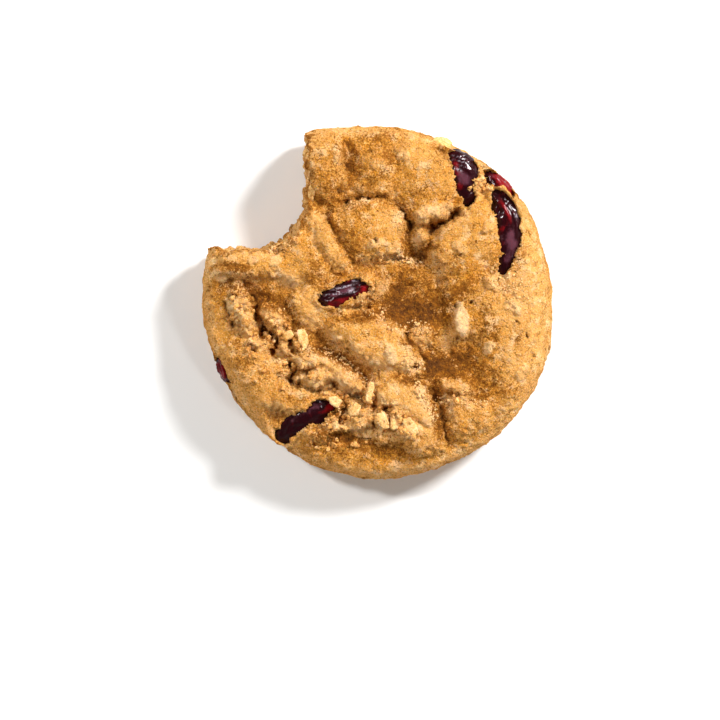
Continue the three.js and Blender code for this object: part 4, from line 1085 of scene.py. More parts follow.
def bite_mesh(sizes, dough, step):
    """What the bite took away: an upright block with a round corner and a crumbly wall."""
    far = dough.radius + BITE_BEYOND
    path, normal, roundness = bite_path(sizes, far, step)
    low, high = -BITE_BELOW, dough.plateau + BITE_ABOVE
    levels = round((high - low) / step)
    along = np.concatenate([[0], np.cumsum(np.linalg.norm(np.diff(path, axis=0), axis=1))])
    tooth = TOOTH_DEPTH * np.abs(np.sin(np.pi * along / TOOTH_WIDTH))
    rows = []
    for level in range(levels + 1):
        z = low + (high - low) * level / levels
        at = np.stack([path[:, 0], path[:, 1], np.full(len(path), z)], axis=1)
        taper = WALL_LEAN * (STRAIGHT_LEAN + roundness) * (z - dough.plateau / 2) / dough.plateau
        shift = taper - tooth + wall_crumb(at)
        rows.append(np.column_stack([path + normal * shift[:, None], np.full(len(path), z)]))
    width = len(path)
    points = np.concatenate(rows)
    back = len(points)
    points = np.concatenate([points, [(-far, far, low), (-far, far, high)]])
    faces = []
    for level in range(levels):
        for i in range(width - 1):
            a = level * width + i
            faces += [(a, a + 1, a + width + 1), (a, a + width + 1, a + width)]
    for i in range(width - 1):
        faces.append((i + 1, i, back))
        a = levels * width + i
        faces.append((a, a + 1, back + 1))
    # The two outer walls close the block behind the cookie's outline.
    for level in range(levels):
        a, b = level * width, (level + 1) * width
        behind = back + 1 if level >= levels // 2 else back
        faces.append((a, b, behind))
        faces.append((b + width - 1, a + width - 1, behind))
    half = (levels // 2) * width
    faces.append((half, back + 1, back))
    faces.append((half + width - 1, back, back + 1))
    return points, np.array(faces)


def cut_away(target, cutter):
    """Cuts one object's solid out of another and keeps the result as plain mesh."""
    modifier = target.modifiers.new("cut", "BOOLEAN")
    modifier.operation = "DIFFERENCE"
    modifier.solver = "MANIFOLD"
    modifier.object = cutter
    bpy.context.view_layer.update()
    depsgraph = bpy.context.evaluated_depsgraph_get()
    cut = bpy.data.meshes.new_from_object(target.evaluated_get(depsgraph))
    target.modifiers.clear()
    old = target.data
    target.data = cut
    bpy.data.meshes.remove(old)
    if not cut.polygons:
        raise RuntimeError("the cut left nothing")


# ------------------------------------------------------------------ shader node helpers

class NodeBench:
    """Adds nodes and links to one node tree, with short calls."""

    def __init__(self, tree):
        self.tree = tree

    def add(self, kind, values=None, **settings):
        node = self.tree.nodes.new(kind)
        for name, value in settings.items():
            setattr(node, name, value)
        for name, value in (values or {}).items():
            if isinstance(value, bpy.types.NodeSocket):
                self.tree.links.new(value, node.inputs[name])
            else:
                node.inputs[name].default_value = value
        return node

    def math(self, operation, a, b=0.0, c=0.0, clamp=False):
        return self.add("ShaderNodeMath", {0: a, 1: b, 2: c}, operation=operation, use_clamp=clamp).outputs[0]

    def mix(self, factor, a, b):
        """Colour a where the factor is 0, colour b where it is 1."""
        return self.add("ShaderNodeMix", {0: factor, 6: a, 7: b}, data_type="RGBA").outputs[2]

    def band(self, value, low, high):
        """0 below low, 1 above high, smooth between."""
        values = {"Value": value, "From Min": low, "From Max": high}
        return self.add("ShaderNodeMapRange", values, interpolation_type="SMOOTHSTEP").outputs["Result"]

    def spread(self, value, gain):
        """How far a noise is from its middle, times a gain."""
        return self.math("MULTIPLY", self.math("SUBTRACT", value, 0.5), gain)

    def noise(self, vector, scale, detail=3.0, roughness=0.55):
        values = {"Vector": vector, "Scale": scale, "Detail": detail, "Roughness": roughness}
        return self.add("ShaderNodeTexNoise", values).outputs["Fac"]

    def moved(self, operation, *vectors):
        return self.add("ShaderNodeVectorMath", dict(enumerate(vectors)), operation=operation).outputs[0]

    def in_mm(self, vector):
        return self.moved("MULTIPLY", vector, (1 / MM,) * 3)

    def warped(self, vector, scale, amount):
        """The vector shifted about by noise."""
        noise = self.add("ShaderNodeTexNoise", {"Vector": vector, "Scale": scale, "Detail": 2.0})
        shift = self.moved("SUBTRACT", noise.outputs["Color"], (0.5, 0.5, 0.5))
        return self.moved("MULTIPLY_ADD", shift, (amount,) * 3, vector)

    def cells(self, vector, scale, feature="F1"):
        values = {"Vector": vector, "Scale": scale}
        return self.add("ShaderNodeTexVoronoi", values, feature=feature).outputs["Distance"]

    def attribute(self, name):
        return self.add("ShaderNodeAttribute", attribute_name=name).outputs["Fac"]


def new_group(name, inputs, outputs):
    """An empty shader node group with named sockets."""
    group = bpy.data.node_groups.new(name, "ShaderNodeTree")
    for socket, kind in inputs:
        group.interface.new_socket(socket, in_out="INPUT", socket_type=kind)
    for socket in outputs:
        group.interface.new_socket(socket, in_out="OUTPUT", socket_type="NodeSocketFloat")
    bench = NodeBench(group)
    return group, bench, bench.add("NodeGroupInput"), bench.add("NodeGroupOutput")


def dough_grain_group():
    """Baked grain in millimetre scale: blotches, patches, grain, pores, specks and a height."""
    name = "dough_grain"
    if name in bpy.data.node_groups:
        return bpy.data.node_groups[name]
    group, bench, given, result = new_group(
        name,
        (("Vector", "NodeSocketVector"), ("Pore Amount", "NodeSocketFloat")),
        ("Blotch", "Patch", "Mottle", "Grain", "Pores", "Specks", "Fissures", "Height"),
    )
    at = bench.in_mm(given.outputs["Vector"])
    shifted = bench.moved("ADD", at, (31.0, 17.0, 5.0))
    grain = bench.noise(at, 2.6, 4.0, 0.80)
    pore_places = bench.band(bench.cells(bench.warped(at, 1.4, 0.5), 0.8), 0.30, 0.10)
    pores = bench.math("MULTIPLY", pore_places, bench.band(bench.noise(at, 0.45, 2.0), 0.50, 0.64))
    pores = bench.math("MULTIPLY", pores, given.outputs["Pore Amount"])
    crackle = bench.cells(bench.warped(shifted, 0.9, 1.6), 0.45, "DISTANCE_TO_EDGE")
    here_and_there = bench.band(bench.noise(at, 0.55, 3.0, 0.6), 0.50, 0.58)
    fissures = bench.math("MULTIPLY", bench.band(crackle, 0.05, 0.012), here_and_there)
    height = bench.math("SUBTRACT", grain, bench.math("MULTIPLY", bench.cells(at, 2.2), 0.35))
    height = bench.math("SUBTRACT", height, bench.math("MULTIPLY", fissures, 0.8))
    height = bench.math("SUBTRACT", height, bench.math("MULTIPLY", pores, 0.9))
    outputs = {
        "Blotch": bench.noise(at, 0.30, 4.0, 0.60),
        "Patch": bench.noise(shifted, 0.42, 5.0, 0.65),
        "Mottle": bench.noise(shifted, 1.0, 3.0, 0.72),
        "Grain": grain,
        "Pores": pores,
        "Specks": bench.band(bench.noise(shifted, 3.6, 2.0, 0.7), 0.55, 0.66),
        "Fissures": fissures,
        "Height": height,
    }
    for socket, value in outputs.items():
        group.links.new(value, result.inputs[socket])
    return group


def new_material(name):
    """A material with a bench for its nodes, its shader, and its place in the object."""
    material = bpy.data.materials.new(name)
    material.use_nodes = True
    bench = NodeBench(material.node_tree)
    shader = material.node_tree.nodes["Principled BSDF"]
    return material, bench, shader, bench.add("ShaderNodeTexCoord").outputs["Object"]


def finish_shader(bench, shader, base, rough, bump_height, bump_strength, bump, plain):
    """Links what varies into a shader, and sets its plain values."""
    bumped = bench.add("ShaderNodeBump", {"Height": bump_height, "Strength": bump_strength, "Distance": bump})
    linked = {"Base Color": base, "Roughness": rough, "Normal": bumped.outputs["Normal"]}
    for name, value in linked.items():
        bench.tree.links.new(value, shader.inputs[name])
    for name, value in plain.items():
        shader.inputs[name].default_value = value


def colour(values):
    return (*values, 1.0)


def dough_material(name, tones, pore_amount, bump, roughness):
    """A baked dough finish from six tones: base, orange, pale, brown, deep and bare flake; pale also carries
    painted light, and brown and deep carry painted shade in hollows, cracks and pores.
    """
    base_tone, orange, pale, brown_and_shade, deep, flake = (colour(tone) for tone in tones)
    material, bench, shader, at = new_material(name)
    values = {"Vector": at, "Pore Amount": pore_amount}
    grain = bench.add("ShaderNodeGroup", values, node_tree=dough_grain_group()).outputs
    # What is read here is browning together with painted shade from hollows and shaded places.
    baked = bench.attribute("toast")
    # More orange where browning and painted shade are stronger, which also warms the painted shade.
    orange_share = bench.math("MULTIPLY_ADD", bench.math("SUBTRACT", baked, 0.32), 1.1,
                         bench.band(grain["Blotch"], 0.42, 0.62), clamp=True)
    base = bench.mix(orange_share, base_tone, orange)
    # Pale crumb edges, painted light and light grains, which the darker places have fewer of.
    paleness = bench.math("ADD", bench.band(grain["Patch"], 0.50, 0.70), bench.attribute("pale"))
    light_grains = bench.math("MULTIPLY", grain["Specks"], bench.math("SUBTRACT", 1.15, baked, clamp=True))
    paleness = bench.math("ADD", paleness, light_grains)
    base = bench.mix(bench.math("MULTIPLY", paleness, 0.75, clamp=True), base, pale)
    # Browning and painted shade, uneven at three sizes, and darkest where they are strongest, as burnt crust
    # and as deep painted shade.
    coarse = bench.math("MULTIPLY_ADD", bench.band(grain["Patch"], 0.36, 0.66), -5.8, -3.1)
    fine = bench.spread(grain["Grain"], coarse)
    mottled = bench.spread(grain["Mottle"], bench.math("MULTIPLY_ADD", baked, -3.2, -0.55))
    toast = bench.math("ADD", baked, bench.spread(grain["Patch"], -2.1))
    toast = bench.math("ADD", toast, bench.math("ADD", fine, mottled))
    # Painted shade in the fine fissures.
    toast = bench.math("MULTIPLY_ADD", grain["Fissures"], 0.45, toast)
    base = bench.mix(toast, base, brown_and_shade)
    scorched_and_shaded = bench.math("MULTIPLY", bench.math("SUBTRACT", toast, 1.0), 0.6, clamp=True)
    base = bench.mix(scorched_and_shaded, base, deep)
    # Painted shade in pores, cracks and narrow hollows.
    pores = bench.math("MULTIPLY", grain["Pores"], 0.6)
    base = bench.mix(bench.math("MAXIMUM", pores, bench.attribute("crevice"), clamp=True), base, deep)
    shown = bench.band(grain["Grain"], 0.30, 0.60)
    bare = bench.math("MULTIPLY", bench.attribute("flake"), shown, clamp=True)
    base = bench.mix(bare, base, flake)
    rough = bench.math("ADD", bench.math("MULTIPLY", grain["Grain"], 0.25), roughness - 0.12)
    finish_shader(bench, shader, base, rough, grain["Height"], 1.0, bump, {
        "Specular IOR Level": 0.05,
        "Subsurface Weight": 0.16,
        "Subsurface Radius": (0.7, 0.28, 0.08),
        "Subsurface Scale": MM,
    })
    return material


def cranberry_material(looks):
    """A dark wrinkled skin with a syrupy coat, red flesh where it is stretched thin, a painted purple sheen
    and painted pale glints.
    """
    material, bench, shader, at = new_material("cranberry_skin")
    at = bench.in_mm(at)
    mottle = bench.spread(bench.noise(at, 0.8, 4.0, 0.6), 1.4)
    thin = bench.math("ADD", bench.attribute("thin"), mottle)
    base = bench.mix(bench.band(thin, 0.25, 1.05), colour(looks.skin), colour(looks.flesh))
    # A painted purple sheen, standing in for soft lamps reflected in the smooth skin.
    sheen = bench.math("ADD", bench.attribute("sheen"), bench.math("MULTIPLY", mottle, 0.8))
    base = bench.mix(bench.math("MULTIPLY", bench.band(sheen, 0.25, 0.8), 0.85), base, colour(looks.painted_sheen))
    # Painted glints: pale streaks on the wrinkles, broken up by noise.
    broken = bench.band(bench.noise(at, 2.4, 2.0), 0.40, 0.56)
    glinted = bench.math("MULTIPLY", bench.attribute("sugar"), broken, clamp=True)
    base = bench.mix(glinted, base, colour(looks.sugar))
    rough = bench.math("ADD", bench.math("MULTIPLY", bench.noise(at, 1.2), 0.25), looks.roughness - 0.12)
    crinkles = bench.math("ADD", bench.noise(at, 1.5), bench.math("MULTIPLY", bench.cells(at, 0.9), 0.4))
    finish_shader(bench, shader, base, rough, crinkles, 0.7, 0.16 * MM, {
        "Coat Weight": looks.coat,
        "Coat Roughness": 0.05,
        "Coat IOR": 1.4,
        "Specular IOR Level": 0.07,
        "Specular Tint": (1.0, 0.45, 0.5, 1.0),
        "Subsurface Weight": 0.2,
        "Subsurface Radius": (0.9, 0.12, 0.12),
        "Subsurface Scale": MM,
    })
    return material


def floor_material(floor_colour):
    """A matt pale floor with faint clouds."""
    material, bench, shader, at = new_material("pale_floor")
    shade = tuple(0.985 * channel for channel in floor_colour)
    base = bench.mix(bench.noise(at, 3.0, 2.0), colour(floor_colour), colour(shade))
    bench.tree.links.new(base, shader.inputs["Base Color"])
    shader.inputs["Roughness"].default_value = 0.9
    shader.inputs["Specular IOR Level"].default_value = 0.1
    return material


# ------------------------------------------------------------------ settings

def length_setting(name, description, default):
    return FloatProperty(name=name, description=description, default=default, unit="LENGTH", precision=5)


def colour_setting(name, description, default):
    return FloatVectorProperty(name=name, description=description, default=default, subtype="COLOR",
                               min=0, max=1)


def angle_setting(name, description, degrees):
    return FloatProperty(name=name, description=description, default=math.radians(degrees), subtype="ANGLE")


class CookieSizes(PropertyGroup):
    """Sizes of the dough and its bite."""

    mean_radius: length_setting("Mean radius", "Mean radius of the outline", 0.0355)
    plateau_height: length_setting("Plateau height", "Height of the face without its relief", 0.0134)
    waist_height: length_setting("Waist height", "Height of the widest line", 0.0058)
    shoulder_run: length_setting("Shoulder run", "How far in the shoulder's rounding reaches", 0.0064)
    foot_run: length_setting("Foot run", "How far in the foot's rounding reaches", 0.0050)
    shoulder_fullness: FloatProperty(name="Shoulder fullness", description="2 is an ellipse; more is squarer",
                                     default=2.3)
    relief_depth: FloatProperty(name="Relief depth", description="Scale of the face's lumps and cracks",
                                default=1.3)
    mesh_step: length_setting("Mesh step", "Spacing of the dough's points", 0.00030)
    base_step: length_setting("Base step", "Spacing of the points on the flat base", 0.0015)
    bite_side: length_setting("Bite side", "X of the bite's straight side", -0.0142)
    bite_lower: length_setting("Bite lower edge", "Y of the bite's lower side", 0.0107)
    bite_corner: length_setting("Bite corner", "Radius of the bite's round corner", 0.0105)


class CookieColours(PropertyGroup):
    """Colours of the baked dough."""

    golden: colour_setting("Golden", "Lightly baked crust", (0.78, 0.345, 0.055))
    orange: colour_setting("Orange", "Caramelised crust", (0.74, 0.29, 0.024))
    pale: colour_setting("Pale", "Flour-pale grains and crumb edges", (0.93, 0.59, 0.28))
    # Brown and shade is the darker baked crust, and also the tone of painted shade in hollows.
    brown_and_shade: colour_setting("Browned", "Darker baked crust", (0.305, 0.105, 0.012))
    # Deep is burnt crust, and also painted shade in the bottoms of cracks, pores and narrow hollows.
    deep: colour_setting("Deep", "Bottoms of cracks and pores", (0.13, 0.045, 0.01))
    crumb: colour_setting("Crumb", "The soft inside", (0.77, 0.41, 0.115))
    crumb_pale: colour_setting("Pale crumb", "Pale grains of the inside", (0.93, 0.64, 0.31))
    crumb_shade: colour_setting("Crumb shade", "Darker parts of the inside", (0.43, 0.17, 0.03))
    flake: colour_setting("Oat flake", "Bare oat flakes", (0.82, 0.49, 0.17))
    flake_pale: colour_setting("Pale flake", "Palest parts of the oat flakes", (0.96, 0.65, 0.35))
    flake_shade: colour_setting("Flake shade", "Baked parts of the oat flakes", (0.62, 0.30, 0.075))


class CranberryLooks(PropertyGroup):
    """Looks of the dried cranberries."""

    skin: colour_setting("Skin", "Thick dark skin", (0.016, 0.0016, 0.003))
    flesh: colour_setting("Flesh", "Thin red places", (0.19, 0.004, 0.006))
    # The sheen colour is painted: soft lamps reflected in the skin.
    painted_sheen: colour_setting("Sheen", "Greyish purple sheen", (0.11, 0.034, 0.05))
    # The glint colour is painted: pale highlights streaked along the wrinkles.
    sugar: colour_setting("Glint", "Painted pale streaks on the wrinkles", (0.50, 0.42, 0.48))
    roughness: FloatProperty(name="Roughness", description="Roughness of the skin", default=0.22,
                             min=0, max=1)
    coat: FloatProperty(name="Coat", description="Weight of the syrupy coat", default=0.45, min=0, max=1)


class CookieStage(PropertyGroup):
    """Floor, light and camera."""

    panel: FloatProperty(name="Panel", description="Strength of the soft side panels", default=0.8)
    floor: colour_setting("Floor", "Colour of the floor", (0.93, 0.93, 0.93))
    fill: FloatProperty(name="Fill", description="Strength of the even light from all round", default=0.45)
    key: FloatProperty(name="Key", description="Strength of the main light", default=12.8)
    key_azimuth: angle_setting("Key azimuth", "Direction of the main light, from +X", 38)
    key_height: angle_setting("Key height", "Angle of the main light over the floor", 36)
    camera_distance: length_setting("Camera distance", "From the camera to the baked face", 0.80)
    frame_width: length_setting("Frame width", "Width seen at the baked face", 0.144)


# ------------------------------------------------------------------ building

def crust_tones(colours):
    return colours.golden, colours.orange, colours.pale, colours.brown_and_shade, colours.deep, colours.flake_pale


def crumb_tones(colours):
    return (colours.crumb, colours.crumb, colours.crumb_pale, colours.crumb_shade, colours.deep,
            colours.flake_pale)


def flake_tones(colours):
    return (colours.flake, colours.flake, colours.flake_pale, colours.flake_shade, colours.brown_and_shade,
            colours.flake_pale)


def finish_piece(piece, slot, *nodes):
    """Puts a piece on its body and hides the CAD nodes it stands for. The slot is not used."""
    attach(piece, BODY)
    if nodes:
        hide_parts(*nodes)


def mark_broken_wall(piece, wall_tree):
    """Gives the bite's wall its own material and a sharp rim, and tells which points are on it."""
    mesh = piece.data
    count = len(mesh.polygons)
    centres = np.empty(count * 3, dtype=np.float32)
    mesh.polygons.foreach_get("center", centres)
    centres = centres.reshape(-1, 3)
    slots = np.zeros(count, dtype=np.int32)
    near_bite = (centres[:, 0] < NEAR_BITE[0] * MM) & (centres[:, 1] > NEAR_BITE[1] * MM)
    for index in np.nonzero(near_bite)[0]:
        found = wall_tree.find_nearest(Vector(centres[index]), ON_WALL * MM)
        slots[index] = 1 if found[0] is not None else 0
    mesh.polygons.foreach_set("material_index", slots)
    mesh.polygons.foreach_set("use_smooth", np.ones(count, dtype=bool))
    edges = {}
    on_wall = np.zeros(len(mesh.vertices))
    for polygon in mesh.polygons:
        if slots[polygon.index]:
            on_wall[list(polygon.vertices)] = 1
            for key in polygon.edge_keys:
                edges[key] = edges.get(key, 0) + 1
    rim = {key for key, times in edges.items() if times == 1}
    sharp = np.zeros(len(mesh.edges), dtype=bool)
    for edge in mesh.edges:
        if tuple(sorted(edge.vertices)) in rim:
            sharp[edge.index] = True
    attribute = mesh.attributes.new("sharp_edge", "BOOLEAN", "EDGE")
    attribute.data.foreach_set("value", sharp)
    return on_wall


def height_map(dough):
    """Relief heights on a square grid, with two blurred copies to read hollows from."""
    reach = dough.radius + 2
    line = np.arange(-reach, reach + HEIGHT_STEP, HEIGHT_STEP)
    x, y = np.meshgrid(line, line)
    flat = (x.ravel(), y.ravel())
    inset = dough.inset(*flat)
    height = dough.plain_height(inset) + dough.relief(*flat) * dough.relief_share(inset)
    height = height.reshape(x.shape)
    return line, height, *(blurred(height, width / HEIGHT_STEP) for width in HOLLOW_WIDTHS)


def blurred(image, width):
    """A grid image, softened over a width in grid steps."""
    offsets = np.arange(-int(3 * width), int(3 * width) + 1)
    kernel = np.exp(-0.5 * (offsets / width) ** 2)
    kernel /= kernel.sum()
    soft = np.pad(image, len(offsets) // 2, mode="edge")
    for axis in (0, 1):
        soft = np.apply_along_axis(lambda line: np.convolve(line, kernel, "valid"), axis, soft)
    return soft


def sample(line, image, x, y):
    """Reads a grid image at places, with straight blends between its points."""
    step = line[1] - line[0]
    column = np.clip((x - line[0]) / step, 0, len(line) - 1.001)
    row = np.clip((y - line[0]) / step, 0, len(line) - 1.001)
    i, j = row.astype(int), column.astype(int)
    v, u = row - i, column - j
    upper = image[i, j] * (1 - u) + image[i, j + 1] * u
    lower = image[i + 1, j] * (1 - u) + image[i + 1, j + 1] * u
    return upper * (1 - v) + lower * v


def dough_tones(dough, points, normals, on_wall):
    """How much browning and painted shade, how much paleness and painted light, how much painted shade of
    narrow hollows, and how bare a flake each point has.
    """
    x, y, z = points.T
    line, *heights = height_map(dough)
    here, near, wide = (sample(line, height, x, y) for height in heights)
    hollow_near = near - here
    hollow_wide = wide - here
    top = smooth_step(0.15, 0.7, normals[:, 2]) * smooth_step(dough.waist, dough.waist + 3, z)
    crumbled = patches(x, y, CRUMBLED)
    sandy = np.clip(patches(x, y, SANDY), 0, 1)
    pallor = patches(x, y, PALE_AND_LIT_PLACES)
    _, flake_pale = flake_cover(x, y)

    # Browning, with painted shade: darker in wide hollows and in the darker places, many of which are painted
    # shade.
    toast = 0.24 + top * (
        patches(x, y, BROWNED_AND_SHADED)
        + 0.34 * np.clip(hollow_wide, -0.7, 1.2)
        - 0.20 * crumbled
        - 0.35 * sandy
        - 0.46 * pallor
    )
    toast = toast - (1 - top) * 0.06 + 0.10 * layered_noise(points, 6.0, seed=60)
    toast = toast + 0.45 * smooth_step(1.6, 0.1, z) - 0.5 * flake_pale * top
    toast = toast + on_wall * (0.20 + 0.7 * smooth_step(2.2, 0.3, here - z))

    # Painted shade in narrow hollows and cracks; further down it also takes paleness out of them.
    crevice = top * smooth_step(0.30, 1.2, hollow_near) * (1 - 0.6 * sandy)
    # Paler on crests, in broken and sandy places and on flush flakes, and lifted by painted light in the
    # paler places.
    pale = 0.25 * (1 - top) + top * (
        0.35 * np.clip(-hollow_near * 1.6, 0, 1)
        + 0.20 * np.clip(crumbled, 0, 1)
        + 0.55 * sandy
        + 0.32 * pallor
        + 0.5 * flake_pale
    )
    pale = pale * (1 - 0.8 * crevice)
    # On the bite's wall, painted shade in the pockets of the torn crumb.
    crevice = np.maximum(crevice * (1 - on_wall), 0.55 * on_wall * wall_pockets(points))
    return toast, pale, crevice, top * np.clip(1.3 * flake_pale - 0.5, 0, 1)


class COOKIE_OT_dough(Operator):
    """Build the dough: relief, cracks, pressed places and the bite"""

    bl_idname = "cookie.dough"
    bl_label = "Dough"

    def execute(self, context):
        sizes, colours = context.scene.cookie_sizes, context.scene.cookie_colours
        dough = Dough(sizes)
        step = sizes.mesh_step / MM
        piece = mesh_object("cookie_dough", *round_dough_mesh(dough, step, sizes.base_step / MM))
        cutter = mesh_object("bite_cutter", *bite_mesh(sizes, dough, step))
        wall_tree = BVHTree.FromObject(cutter, context.evaluated_depsgraph_get())
        cut_away(piece, cutter)
        bpy.data.objects.remove(cutter)
        mesh = piece.data
        mesh.materials.clear()
        mesh.materials.append(dough_material("baked_crust", crust_tones(colours), 0.3, 0.54 * MM, 0.80))
        mesh.materials.append(dough_material("broken_crumb", crumb_tones(colours), 1.0, 0.35 * MM, 0.85))
        on_wall = mark_broken_wall(piece, wall_tree)
        points = points_of(mesh)
        tones = dough_tones(dough, points, point_normals(points, triangles_of(mesh)), on_wall)
        for name, values in zip(("toast", "pale", "crevice", "flake"), tones):
            add_float_attribute(mesh, name, values)
        finish_piece(piece, "baked_dough", "cookie_body")
        return {"FINISHED"}


def surface_tree():
    dough = bpy.data.objects["cookie_dough"]
    return BVHTree.FromPolygons([vertex.co[:] for vertex in dough.data.vertices],
                                [polygon.vertices[:] for polygon in dough.data.polygons])


def drop_on_face(tree, x, y):
    """The place and slope of the dough's surface straight under a place, in mm."""
    found, normal, _, _ = tree.ray_cast(Vector((x * MM, y * MM, DROP_HEIGHT * MM)), Vector((0, 0, -1)))
    if found is None:
        return None, None
    return np.array(found) / MM, np.array(normal)


def averaged_normal(tree, middle, reach):
    """The dough's slope round a place, averaged over nearby places and drawn towards upright."""
    total = np.zeros(3)
    for dx, dy in ((0, 0), (reach, 0), (-reach, 0), (0, reach), (0, -reach)):
        _, normal = drop_on_face(tree, middle[0] + dx, middle[1] + dy)
        if normal is not None:
            total += normal
    total = total + np.array((0, 0, 1.5))
    return total / np.linalg.norm(total)


def turned_to(normal, turn):
    """A rotation that lays local Z along a normal after a turn about Z."""
    lay = Vector((0, 0, 1)).rotation_difference(Vector(normal)).to_matrix()
    return np.array(lay @ Matrix.Rotation(math.radians(turn), 3, "Z"))


class Heap:
    """Small pieces of one kind, gathered into one mesh with their tones."""

    def __init__(self):
        self.points, self.faces, self.toast, self.pale = [], [], [], []
        self.count = 0

    def add(self, points, faces, toast, pale):
        self.points.append(points)
        self.faces.append(faces + self.count)
        self.toast.append(np.full(len(points), toast))
        self.pale.append(np.full(len(points), pale))
        self.count += len(points)

    def finish(self, name, material):
        piece = mesh_object(name, np.concatenate(self.points), np.concatenate(self.faces))
        piece.data.materials.append(material)
        add_float_attribute(piece.data, "toast", np.concatenate(self.toast))
        add_float_attribute(piece.data, "pale", np.concatenate(self.pale))
        add_float_attribute(piece.data, "crevice", np.zeros(self.count))
        finish_piece(piece, "baked_dough")


def oat_flake(length, width, seed):
    """A thin, slightly cupped oval with a crease along it and a ragged rim."""
    blunt = 0.72 + 0.22 * ((seed * 0.618) % 1)
    angle = ring_angles(FLAKE_SIDES)
    around = np.stack([np.cos(angle), np.sin(angle), np.full(FLAKE_SIDES, seed * 1.7)], axis=1)
    rim = 1 + 0.22 * swell_noise(around, 0.7, seed=70) + 0.14 * swell_noise(around, 0.25, seed=71)
    # The upper side's rings run outwards and the lower side's inwards, from inside the shared rim.
    upper = [(1, (ring + 1) / FLAKE_RINGS) for ring in range(FLAKE_RINGS)]
    lower = [(-1, (FLAKE_RINGS - ring) / FLAKE_RINGS) for ring in range(1, FLAKE_RINGS)]
    rows = []
    for side, share in upper + lower:
        x = share * np.clip(rim * np.cos(angle), -1, blunt) * length / 2
        y = share * rim * np.sin(angle) * width / 2
        crease = 0.05 * np.exp(-(y / (0.16 * width)) ** 2)
        cup = 0.03 * width * share ** 2
        z = side * FLAKE_THICKNESS / 2 * (1 - 0.75 * share ** 3) + cup - side * crease
        rows.append(np.stack([x, y, z], axis=1))
    middle = FLAKE_THICKNESS / 2 - 0.1
    points, faces = skin_over_rings((0, 0, middle), rows, (0, 0, -middle))
    place = points + np.array((seed * 31.0, seed * 7.0, 0))
    rough = 0.11 * swell_noise(place, 1.2, seed=72) + 0.09 * swell_noise(place, 0.5, seed=73)
    return points + np.stack([0.6 * rough, 0.6 * rough[::-1], rough], axis=1), faces


class COOKIE_OT_oat_flakes(Operator):
    """Lay the oat flakes that stand proud of the face"""

    bl_idname = "cookie.oat_flakes"
    bl_label = "Oat flakes"

    def execute(self, context):
        tree = surface_tree()
        heap = Heap()
        for seed, (middle, length, width, turn, proud, paleness) in enumerate(PROUD_FLAKES):
            at, _ = drop_on_face(tree, *middle)
            if at is None:
                raise RuntimeError(f"no dough under the flake at {middle}")
            normal = averaged_normal(tree, middle, 0.35 * length)
            flake, triangles = oat_flake(length, width, seed)
            placed = flake @ turned_to(normal, turn).T + at + normal * (proud - FLAKE_SUNK)
            heap.add(placed, triangles, toast=0.5 * (1 - paleness), pale=paleness)
        tones = flake_tones(context.scene.cookie_colours)
        heap.finish("oat_flakes", dough_material("oat_flake", tones, 0.2, 0.15 * MM, 0.7))
        return {"FINISHED"}


def chipped(ball, random):
    """The ball with a few flat breaks cut into it."""
    shape = ball.copy()
    for _ in range(CRUMB_BREAKS):
        towards = random.normal(size=3)
        towards /= np.linalg.norm(towards)
        beyond = np.maximum(shape @ towards - random.uniform(0.35, 0.75), 0)
        shape -= beyond[:, None] * towards
    return shape


def place_in_patch(middle, half, turn, random):
    """A random place in a turned ellipse."""
    out = math.sqrt(random.random())
    angle = 2 * math.pi * random.random()
    along, across = half[0] * out * math.cos(angle), half[1] * out * math.sin(angle)
    cos, sin = math.cos(math.radians(turn)), math.sin(math.radians(turn))
    return middle[0] + along * cos - across * sin, middle[1] + along * sin + across * cos


class COOKIE_OT_crumbs(Operator):
    """Scatter the crumbs that cling to the broken places of the face"""

    bl_idname = "cookie.crumbs"
    bl_label = "Crumbs"

    def execute(self, context):
        tree = surface_tree()
        random = np.random.default_rng(81)
        ball, triangles = unit_ball(2)
        heap = Heap()
        for places, least, spread, crowd, pallor in CRUMB_KINDS:
            for middle, half, turn, strength in places:
                area = math.pi * half[0] * half[1]
                for _ in range(int(area * strength * crowd)):
                    x, y = place_in_patch(middle, half, turn, random)
                    size = least + spread * random.random() ** 2.4
                    at, normal = drop_on_face(tree, x, y)
                    if at is None or at[2] < LOWEST_CRUMB:
                        continue
                    shape = chipped(ball, random) * (size * random.uniform(0.7, 1.4, size=3))
                    spot = ball + random.uniform(0, 50, size=3)
                    bumps = 1 + 0.34 * swell_noise(spot, 0.9, seed=82)
                    bumps = bumps + 0.14 * swell_noise(spot, 0.4, seed=83)
                    lay = turned_to(normal, 360 * random.random())
                    placed = (shape * bumps[:, None]) @ lay.T + at + normal * size * 0.1
                    toast = 0.45 * random.random() * (1.2 - pallor)
                    heap.add(placed, triangles, toast, pale=pallor)
        tones = crust_tones(context.scene.cookie_colours)
        heap.finish("face_crumbs", dough_material("crumb_grains", tones, 0.2, 0.15 * MM, 0.8))
        return {"FINISHED"}


